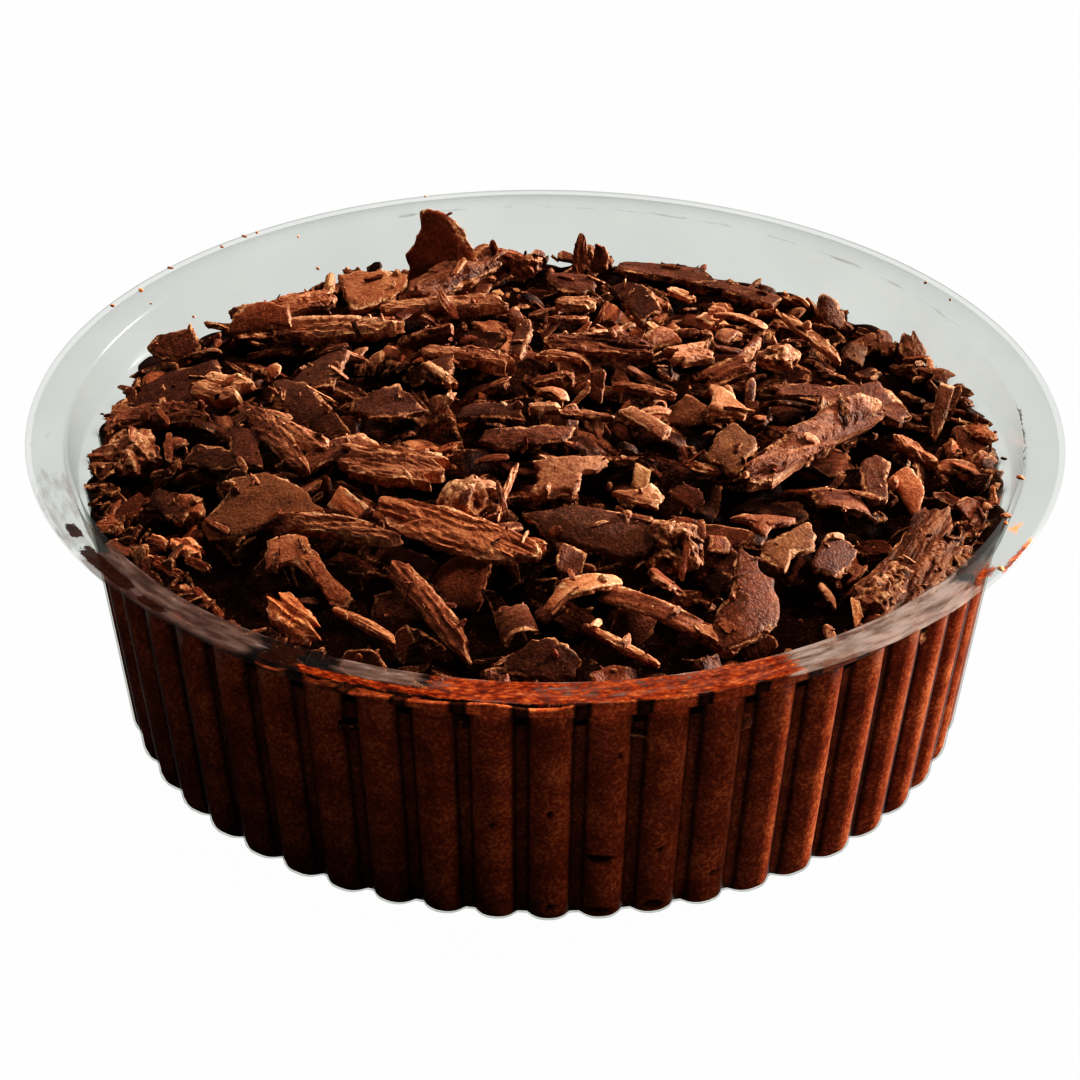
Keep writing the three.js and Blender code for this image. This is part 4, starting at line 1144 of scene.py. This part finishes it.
SLIVER_KINDS = ("splinter", "splinter", "plate", "curl")
SLIVER_COUNT, SLIVER_REACH, SLIVER_JITTER = 230, 50, 2.5
SLIVER_LENGTHS = (1.8, 5.0)
SLIVER_STEEPEST = 50
SLIVER_OVERHANG = 1.2  # how far the ground may stand up under its middle
SLIVER_THINNING = 0.6
CRUMB_COUNT, CRUMB_REACH, CRUMB_JITTER = 800, 51.5, 2.0
CRUMB_SIZES = (0.3, 0.9)  # the least, and how much larger the largest are
FINE_CRUMB = 0.8  # smaller ones are made with fewer faces


def slivers(batch, skyline):
    """Thin loose splinters that lie across the flakes."""
    rng = np.random.default_rng(21)
    for x, y in spiral(SLIVER_COUNT, SLIVER_REACH, rng, SLIVER_JITTER):
        length = rng.uniform(*SLIVER_LENGTHS)
        heading = rng.uniform(0, 360)
        way = np.array([math.cos(math.radians(heading)), math.sin(math.radians(heading))]) * length * 0.4
        low = skyline.at(x - way[0], y - way[1])
        high = skyline.at(x + way[0], y + way[1])
        middle = skyline.at(x, y)
        pitch = math.degrees(math.atan2(high - low, 0.8 * length))
        if abs(pitch) > SLIVER_STEEPEST or middle - (low + high) / 2 > SLIVER_OVERHANG or in_hollow(x, y):
            continue
        z = max((low + high) / 2, middle) + 0.12
        kind = SLIVER_KINDS[int(rng.integers(len(SLIVER_KINDS)))]
        share = rng.uniform(0.16, 0.45)
        arc = rng.uniform(40, 150) if kind == "curl" else rng.uniform(2, 25)
        made = sheet(rng, length, length * share, kind, arc, 0.3, twist=rng.uniform(-30, 30))
        points = made[0] * np.array([1, 1, SLIVER_THINNING])
        matrix = np.array(turned(heading, pitch, rng.uniform(-25, 25)))
        placed = inside_wall(points @ matrix.T + np.array([x, y, z]))
        add_flake(batch, rng, kind, placed, *made[1:], rng.uniform(0.12, 0.55), rng.uniform(-0.1, 0.9))


def crumbs(batch, skyline):
    """Loose crumbs on and between the flakes."""
    rng = np.random.default_rng(9)
    for x, y in spiral(CRUMB_COUNT, CRUMB_REACH, rng, CRUMB_JITTER):
        size = CRUMB_SIZES[0] + CRUMB_SIZES[1] * rng.random() ** 5
        if in_hollow(x, y):
            continue
        shape = (size * rng.uniform(1.2, 2.6), size, size * rng.uniform(0.35, 0.8))
        turns = rng.uniform(0, 360, 3)
        tone = rng.uniform(0.15, 0.65)
        tint = rng.uniform(-0.2, 0.8)
        made = lump(rng, *shape, FINER if size > FINE_CRUMB else FINE)
        matrix = np.array(turned(*turns))
        z = skyline.at(x, y) + 0.15 * size
        placed = inside_wall(made[0] @ matrix.T + np.array([x, y, z]))
        add_flake(batch, rng, "crumb", placed, *made[1:], tone, tint)


# Bits that lie on the rim: angle, radius, height under the rim, length, width, tone and tint.
RIM_BITS = (
    (146.7, 58.5, 0, 0.9, 0.6, 0.75, 0.9), (128.7, 59.3, 0, 0.9, 0.5, 0.7, 0.9),
    (132.4, 59.0, 0, 0.6, 0.5, 0.75, 0.7), (140.3, 59.4, 0, 0.9, 0.4, 0.9, 0.4),
    (151.6, 59.2, 0, 0.9, 0.5, 0.8, 0.7), (127.0, 59.3, 0, 0.5, 0.4, 0.85, 0.5),
    (104.8, 59.4, 0, 0.5, 0.4, 0.9, 0.2), (148.8, 55.5, 0, 0.5, 0.4, 0.9, 0.3),
    (123.4, 55.5, 0, 0.5, 0.4, 0.9, 0.3), (142.4, 53.9, 4.0, 0.6, 0.5, 0.8, 0.6),
    (121.5, 53.9, 4.2, 0.6, 0.4, 0.9, 0.3), (117.5, 53.3, 4.9, 0.6, 0.5, 0.75, 0.8),
    (38, 58.2, 0, 0.5, 0.3, 0.5, 0.3), (33, 58.0, 0, 0.4, 0.3, 0.5, 0.3),
    (-11.4, 55.3, 0, 1.1, 0.6, 0.45, 0.9), (2, 53.4, 4.9, 0.9, 0.5, 0.1, 0),
    (8.7, 53.4, 4.9, 0.7, 0.5, 0.2, 0.3), (-31.5, 59.4, 0, 0.9, 0.6, 0.7, -0.9),
    (-20.4, 55.5, 0.1, 1.2, 0.9, 0.5, 1.0), (-22, 55.9, 0.1, 0.8, 0.6, 0.7, 1.0),
)
RIM_BIT_HEIGHT = 0.4


def rim_bits(batch):
    rng = np.random.default_rng(31)
    for angle, radius, under, length, width, tone, tint in RIM_BITS:
        made = lump(rng, length, width, RIM_BIT_HEIGHT, FINER)
        matrix = np.array(turned(angle + rng.uniform(-40, 40), 0, 0))
        place = circle(np.array([angle]), radius, RIM_Z - under + 0.08)[0]
        add_flake(batch, rng, "crumb", made[0] @ matrix.T + place, *made[1:], tone, tint)


BED_RADIUS = 51.6
BED_SINK = 6.2
BED_COLUMNS, BED_RINGS = 340, 110
BED_BUMPS = 2.6  # their size and their height
# Darkest tone and low relief: painted shade.
BED_SHADE_LOOK = (0.0, 0.0, 0.1, 0.3)


def bed(material):
    """A bumpy chocolate sheet under the flakes, at the darkest tone: painted shade in the gaps between
    them.
    """
    angles = np.arange(BED_COLUMNS) * 360 / BED_COLUMNS
    rings = circles(angles, [(radius, MOUSSE_TOP - 0.4) for radius in (20, BED_RADIUS)])
    for radius in np.linspace(BED_RADIUS, 1.0, BED_RINGS):
        flat = circle(angles, radius, 0)
        x, y = flat[:, 0], flat[:, 1]
        bump = layered(x / BED_BUMPS, y / BED_BUMPS, 0.2, 31, 4) - 0.5
        top = heap_height(x, y)
        sink = np.minimum(BED_SINK, 0.8 * (top - MOUSSE_TOP))
        z = np.maximum(top - sink + BED_BUMPS * bump, MOUSSE_TOP + 0.1)
        rings.append(np.stack([x, y, z], axis=-1))
    points, faces = closed_rings(rings)
    batch = Batch()
    batch.add(points, faces, np.tile(BED_SHADE_LOOK, (len(points), 1)))
    return batch.build("flake_bed", material)


# ---------------------------------------------------------------- materials


def node(tree, kind, inputs=None, **settings):
    """Adds a shader node; `inputs` gives values or the sockets to link."""
    made = tree.nodes.new("ShaderNode" + kind)
    for name, value in settings.items():
        setattr(made, name, value)
    for name, value in (inputs or {}).items():
        socket = made.inputs[name]
        if isinstance(value, bpy.types.NodeSocket):
            tree.links.new(value, socket)
        else:
            socket.default_value = value
    return made


def new_material(name):
    material = bpy.data.materials.new(name)
    material.use_nodes = True
    material.node_tree.nodes.clear()
    return material, material.node_tree


def ramp(tree, value, stops):
    made = node(tree, "ValToRGB", {"Fac": value})
    elements = made.color_ramp.elements
    while len(elements) < len(stops):
        elements.new(0.5)
    for element, (position, colour) in zip(elements, stops):
        element.position = position
        element.color = (*colour, 1)
    return made.outputs["Color"]


def maths(tree, operation, *values, clamp=False):
    made = node(tree, "Math", dict(enumerate(values)), operation=operation, use_clamp=clamp)
    return made.outputs[0]


def times(tree, a, b, clamp=False):
    return maths(tree, "MULTIPLY", a, b, clamp=clamp)


def times_plus(tree, a, b, c, clamp=False):
    return maths(tree, "MULTIPLY_ADD", a, b, c, clamp=clamp)


def minus(tree, a, b):
    return maths(tree, "SUBTRACT", a, b)


def above(tree, value, threshold, slope, clamp=True):
    """How far `value` is above a threshold, times a slope."""
    return times(tree, minus(tree, value, threshold), slope, clamp=clamp)


def swayed(tree, level, value, middle, weight):
    """`level`, moved by how far `value` is from its middle."""
    return times_plus(tree, minus(tree, value, middle), weight, level)


def map_range(tree, value, **limits):
    inputs = {name.replace("_", " ").title(): limit for name, limit in limits.items()}
    return node(tree, "MapRange", {"Value": value, **inputs}).outputs[0]


def mix_colour(tree, share, a, b, blend="MIX"):
    made = node(tree, "Mix", data_type="RGBA", blend_type=blend)
    for index, value in ((0, share), (6, a), (7, b)):
        if isinstance(value, bpy.types.NodeSocket):
            tree.links.new(value, made.inputs[index])
        else:
            made.inputs[index].default_value = value if index == 0 else (*value, 1)
    return made.outputs[2]


def mix_shader(tree, share, a, b):
    return node(tree, "MixShader", {0: share, 1: a.outputs[0], 2: b.outputs[0]})


def noise_node(tree, vector, scale, detail=3.0, roughness=0.55):
    inputs = {"Vector": vector, "Scale": scale, "Detail": detail, "Roughness": roughness}
    return node(tree, "TexNoise", inputs).outputs["Fac"]


def scaled(tree, vector, scale):
    return node(tree, "Mapping", {"Vector": vector, "Scale": scale}).outputs[0]


def bump_node(tree, height, strength, distance):
    inputs = {"Height": height, "Strength": strength, "Distance": distance}
    return node(tree, "Bump", inputs).outputs[0]


def attributes(tree):
    """The first three numbers of `look`, its fourth, and `grain`."""
    look = node(tree, "Attribute", attribute_name="look").outputs
    grain = node(tree, "Attribute", attribute_name="grain").outputs["Vector"]
    return node(tree, "SeparateColor", {"Color": look["Color"]}).outputs, look["Alpha"], grain


def finished(material, tree, shader):
    node(tree, "OutputMaterial", {"Surface": shader.outputs[0]})
    return material


# Specular level; what lies deep in the heap is duller, as painted shade on its gloss.
GLOSS, DEEP_GLOSS = 0.12, 0.02
FACE_COLOURS = (
    (0.0, (0.006, 0.0012, 0.0004)),
    (0.25, (0.063, 0.0175, 0.0085)),
    (0.5, (0.200, 0.060, 0.0270)),
    (0.75, (0.47, 0.180, 0.084)),
    (1.0, (0.76, 0.41, 0.22)),
)
EDGE_COLOURS = (
    (0.3, (0.085, 0.023, 0.009)),
    (0.5, (0.38, 0.138, 0.056)),
    (0.7, (0.80, 0.42, 0.21)),
)
REDDER, GREENER = (1.25, 0.84, 0.60), (0.92, 1.14, 0.75)


def chocolate_material(name, specular):
    """Broken chocolate: dark satin faces, pale crumbly edges and streaks along the flake."""
    material, tree = new_material(name)
    (tone, edge, relief), tint, grain = attributes(tree)
    blotch = noise_node(tree, grain, 0.45, 4)
    speck = noise_node(tree, grain, 2.6, 3, 0.7)
    streak = noise_node(tree, scaled(tree, grain, (0.25, 2.2, 1.4)), 0.9, 4, 0.65)

    level = tone
    # Relief lightens ridges and darkens grooves, pits and undersides: partly grain, partly painted
    # highlight and painted shade.
    for value, middle, weight in ((blotch, 0.5, 0.36), (speck, 0.5, 0.52), (relief, 0.45, 0.42)):
        level = swayed(tree, level, value, middle, weight)
    woody = above(tree, relief, 0.34, 2.2)
    level = times_plus(tree, above(tree, streak, 0.5, woody, clamp=False), 0.48, level)
    face = ramp(tree, level, FACE_COLOURS)
    redder = mix_colour(tree, 1.0, face, REDDER, "MULTIPLY")
    greener = mix_colour(tree, 1.0, face, GREENER, "MULTIPLY")
    face = mix_colour(tree, times(tree, tint, 0.8, clamp=True), face, redder)
    face = mix_colour(tree, times(tree, tint, -1.0, clamp=True), face, greener)

    crumbly = noise_node(tree, grain, 1.3, 3, 0.7)
    pale = times_plus(tree, crumbly, 1.3, minus(tree, edge, 0.95))
    pale = times(tree, pale, 1.9, clamp=True)
    rim = ramp(tree, swayed(tree, speck, tone, 0.35, 0.35), EDGE_COLOURS)
    colour = mix_colour(tree, times(tree, pale, 0.85), face, rim)
    dots = above(tree, noise_node(tree, grain, 4.2, 2, 0.6), 0.59, 7.0)
    colour = mix_colour(tree, times(tree, dots, 0.34), colour, rim)

    fibres = times(tree, streak, woody)
    shader = node(tree, "BsdfPrincipled", {
        "Base Color": colour,
        "Roughness": map_range(tree, blotch, to_min=0.40, to_max=0.66),
        "Normal": bump_node(tree, times_plus(tree, fibres, 0.5, speck), 0.7, 0.0004),
        "Specular IOR Level": specular,
        "Specular Tint": (1, 0.7, 0.5, 1),
    })
    return finished(material, tree, shader)


MOUSSE_COLOURS = (
    (0.34, (0.052, 0.0068, 0.0020)),
    (0.5, (0.240, 0.038, 0.0110)),
    (0.64, (0.60, 0.150, 0.052)),
)
MOUSSE_DARK = (0.012, 0.004, 0.002)


def mousse_material():
    material, tree = new_material("mousse")
    (tone, dent, _), _, grain = attributes(tree)
    cloud = noise_node(tree, grain, 0.22, 4)
    speck = noise_node(tree, grain, 2.4, 3, 0.7)
    level = times_plus(tree, speck, 0.52, times_plus(tree, cloud, 0.3, 0.09))
    colour = ramp(tree, level, MOUSSE_COLOURS)
    colour = mix_colour(tree, 1.0, colour, times(tree, tone, 2.0), "MULTIPLY")
    # Darkened towards MOUSSE_DARK: painted shade in dents, slits and grooves, and a darker upper edge.
    colour = mix_colour(tree, times(tree, dent, 0.7, clamp=True), colour, MOUSSE_DARK)
    shader = node(tree, "BsdfPrincipled", {
        "Base Color": colour,
        "Roughness": 0.6,
        "Specular IOR Level": 0.04,
        "Normal": bump_node(tree, speck, 0.4, 0.0001),
    })
    return finished(material, tree, shader)


PLASTIC_TINTS = ((0.3, (0.81, 0.825, 0.80)), (0.7, (0.85, 0.865, 0.84)))
FILM_COLOURS = ((0.28, (0.045, 0.022, 0.017)), (0.5, (0.120, 0.070, 0.053)), (0.72, (0.34, 0.235, 0.188)))
SMEAR_COLOURS = (
    (0.38, (0.040, 0.0042, 0.0010)),
    (0.5, (0.125, 0.0140, 0.0026)),
    (0.6, (0.265, 0.040, 0.0072)),
    (0.72, (0.46, 0.118, 0.027)),
    (0.9, (0.76, 0.22, 0.045)),
)
DARK_COLOURS = ((0.3, (0.004, 0.0012, 0.0008)), (0.7, (0.024, 0.0065, 0.003)))
COVER_THRESHOLD = 0.36
FILM_PALER_RIGHT = 0.003  # per millimetre along the rim from the front
SMEAR_PALER_FROM, SMEAR_PALER_TO, SMEAR_PALER = 66.5, 69.5, 0.35


def clear_plastic():
    """Thin clear plastic: light passes straight through, with a little taken away, and gloss, but none
    on the lip. The rim is soiled where `look` says, in streaks that run round the tub."""
    material, tree = new_material("clear_plastic")
    place = node(tree, "TexCoord").outputs["Object"]
    (film, smear, dark), _, unrolled = attributes(tree)
    arc, radius, height = node(tree, "SeparateXYZ", {"Vector": unrolled}).outputs
    haze = noise_node(tree, place, 60, 3)
    outer = above(tree, radius, RIM_RADIUS - WALL - 0.3, 8.0)
    low = times(tree, minus(tree, RIM_Z - 0.3, height), 8.0, clamp=True)
    lip = times(tree, outer, low)
    tint = mix_colour(tree, lip, ramp(tree, haze, PLASTIC_TINTS), (1, 1, 1))
    through = node(tree, "BsdfTransparent", {"Color": tint})
    bump = bump_node(tree, haze, 0.12, 0.0004)
    gloss = node(tree, "BsdfGlossy", {"Roughness": 0.12, "Normal": bump})
    facing = node(tree, "LayerWeight", {"Blend": 0.5, "Normal": bump}).outputs["Facing"]
    share = times_plus(tree, maths(tree, "POWER", facing, 5.0), 0.55, 0.025, clamp=True)
    share = times(tree, share, minus(tree, 1.0, lip))
    shader = mix_shader(tree, share, through, gloss)

    broad = noise_node(tree, scaled(tree, unrolled, (0.22, 1, 1)), 0.9, 4, 0.6)
    fine = noise_node(tree, scaled(tree, unrolled, (0.45, 1, 1)), 1.9, 4, 0.7)
    film_level = times_plus(tree, arc, FILM_PALER_RIGHT, broad)
    paler = map_range(tree, arc, from_min=SMEAR_PALER_FROM, from_max=SMEAR_PALER_TO, to_max=SMEAR_PALER)
    smear_level = maths(tree, "ADD", fine, paler)
    # where it lies, how much it hides at most, how patchy and sharp it is, its pattern and its colours
    layers = (
        (film, 0.62, 1.2, 2.6, broad, film_level, FILM_COLOURS),
        (smear, 0.88, 1.6, 2.8, fine, smear_level, SMEAR_COLOURS),
        (dark, 0.95, 1.4, 6.0, fine, fine, DARK_COLOURS),
    )
    for cover, most, patchy, sharp, pattern, shade, colours in layers:
        uneven = above(tree, pattern, 0.5, patchy, clamp=False)
        amount = above(tree, maths(tree, "ADD", cover, uneven), COVER_THRESHOLD, sharp)
        layer = node(tree, "BsdfDiffuse", {"Color": ramp(tree, shade, colours)})
        shader = mix_shader(tree, times(tree, amount, most), shader, layer)
    return finished(material, tree, shader)


FLOOR_GLOW = 0.985
FLOOR_COLOURS = ((0.3, (0.20, 0.20, 0.20)), (0.7, (0.22, 0.22, 0.22)))


def floor_material():
    """White paper with some light behind it, as on a photographer's light table."""
    material, tree = new_material("paper")
    place = node(tree, "TexCoord").outputs["Object"]
    colour = ramp(tree, noise_node(tree, place, 8, 2), FLOOR_COLOURS)
    paper = node(tree, "BsdfDiffuse", {"Color": colour})
    glow = node(tree, "Emission", {"Strength": 1.0})
    seen = node(tree, "LightPath").outputs["Is Camera Ray"]
    return finished(material, tree, mix_shader(tree, times(tree, seen, FLOOR_GLOW), paper, glow))


# ---------------------------------------------------------------- camera, lights and floor

VIEW_ANGLE = 11.083
CAMERA_DISTANCE = 643.67
CAMERA_ELEVATION = 29.643
CAMERA_ROLL = 0.4926
AIM_RIGHT = -0.497
AIM_UP = -13.157
SENSOR_WIDTH = 36
CLIP_START = 0.01  # metres, as are the floor's
FLOOR_REACH = 3.0
FLOOR_Z = -0.0002
# name, azimuth, elevation, strength, width in degrees, and whether what shines mirrors it
SUNS = (
    ("key", 28, 40, 5.2, 5, False),
    ("right", 27, 9, 13.3, 5, True),
    ("front", -20, 20, 0.85, 15, False),
    ("top", 112, 58, 2.0, 40, False),
)
# how the picture's darks are deepened, as brightness before and after
CONTRAST = ((0.02, 0.011), (0.08, 0.062), (0.25, 0.25))


def make_camera():
    elevation = math.radians(CAMERA_ELEVATION)
    back = Vector((0, -math.cos(elevation), math.sin(elevation)))
    data = bpy.data.cameras.new("camera")
    data.sensor_width = SENSOR_WIDTH
    data.lens = SENSOR_WIDTH / 2 / math.tan(math.radians(VIEW_ANGLE) / 2)
    data.clip_start = CLIP_START
    camera = bpy.data.objects.new("camera", data)
    rim = Vector((0, 0, RIM_Z))
    place = (rim + back * CAMERA_DISTANCE) * MM
    right = Vector((1, 0, 0))
    aim = (rim + right * AIM_RIGHT + back.cross(right) * AIM_UP) * MM
    roll = Matrix.Rotation(math.radians(CAMERA_ROLL), 3, "Z")
    turn = (aim - place).to_track_quat("-Z", "Y").to_matrix() @ roll
    camera.matrix_world = Matrix.Translation(place) @ turn.to_4x4()
    bpy.context.scene.collection.objects.link(camera)
    bpy.context.scene.camera = camera


def make_floor():
    mesh = bpy.data.meshes.new("floor")
    corners = ((-1, -1), (1, -1), (1, 1), (-1, 1))
    mesh.from_pydata([(x * FLOOR_REACH, y * FLOOR_REACH, FLOOR_Z) for x, y in corners], [], [(0, 1, 2, 3)])
    mesh.materials.append(floor_material())
    floor = bpy.data.objects.new("floor", mesh)
    floor.visible_glossy = False
    bpy.context.scene.collection.objects.link(floor)


def make_suns():
    """Distant soft lights. Azimuth is the way to them, in degrees from +X."""
    for name, azimuth, elevation, strength, angle, mirrored in SUNS:
        data = bpy.data.lights.new(name, "SUN")
        data.energy = strength
        data.angle = math.radians(angle)
        light = bpy.data.objects.new(name, data)
        light.visible_glossy = mirrored
        a, e = math.radians(azimuth), math.radians(elevation)
        way = Vector((math.cos(a) * math.cos(e), math.sin(a) * math.cos(e), math.sin(e)))
        light.rotation_mode = "QUATERNION"
        light.rotation_quaternion = way.to_track_quat("Z", "Y")
        bpy.context.scene.collection.objects.link(light)


def make_world():
    """White to the camera; as a light it is bright above and behind, and dim in front and below. What
    shines also shows the white table behind the tub."""
    world = bpy.data.worlds.new("studio")
    bpy.context.scene.world = world
    world.use_nodes = True
    tree = world.node_tree
    tree.nodes.clear()
    way = node(tree, "TexCoord").outputs["Generated"]
    x, y, z = node(tree, "SeparateXYZ", {"Vector": way}).outputs
    lit = times_plus(tree, z, 0.45, times_plus(tree, y, 0.6, 0.15), clamp=True)
    high = map_range(tree, z, from_min=-0.05, from_max=0.05)
    behind = map_range(tree, y, from_min=0.2, from_max=0.7)
    table = times(tree, behind, minus(tree, 1.0, high))
    table = times(tree, table, times_plus(tree, x, 0.55, 0.35, clamp=True))
    sky = times(tree, lit, high)
    shine = times(tree, times_plus(tree, sky, 0.3, table), 0.9)
    path = node(tree, "LightPath").outputs
    glossy = path["Is Glossy Ray"]
    plain = times(tree, times(tree, sky, 0.27), minus(tree, 1.0, glossy))
    strength = times_plus(tree, shine, glossy, plain)
    light, white = (node(tree, "Background", {"Color": (1, 1, 1, 1), "Strength": value})
                    for value in (strength, 1.0))
    both = mix_shader(tree, path["Is Camera Ray"], light, white)
    node(tree, "OutputWorld", {"Surface": both.outputs[0]})


def deepen_darks():
    settings = bpy.context.scene.view_settings
    settings.view_transform = "Standard"
    settings.look = "None"
    settings.use_curve_mapping = True
    for before, after in CONTRAST:
        settings.curve_mapping.curves[3].points.new(before, after)
    settings.curve_mapping.update()


# ---------------------------------------------------------------- the whole

make_camera()
make_world()
make_floor()
make_suns()
deepen_darks()

DEEP_CHOCOLATE = chocolate_material("chocolate_deep", DEEP_GLOSS)
CHOCOLATE = chocolate_material("chocolate", GLOSS)
PIECES = [
    (tub(), "clear_plastic", "cup"),
    (mousse(), "mousse", "mousse"),
    (bed(DEEP_CHOCOLATE), "chocolate", "chocolate_flakes"),
]
BATCH_NAMES = ("plate", "bark", "splinter", "curl", "crumb", "under", "small", "edge", "sliver", "fine")
BATCHES = {name: Batch() for name in BATCH_NAMES}
listed_flakes(BATCHES)
filling_flakes(BATCHES)
SKYLINE = Skyline(BATCHES.values())
slivers(BATCHES["sliver"], SKYLINE)
crumbs(BATCHES["fine"], SKYLINE)
rim_bits(BATCHES["fine"])
for batch_name, batch in BATCHES.items():
    piece = batch.build("flakes_" + batch_name, DEEP_CHOCOLATE if batch_name == "under" else CHOCOLATE)
    PIECES.append((piece, "chocolate", "chocolate_flakes"))

for piece, slot_name, cad_node in PIECES:
    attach(piece, "root")
    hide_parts(cad_node)
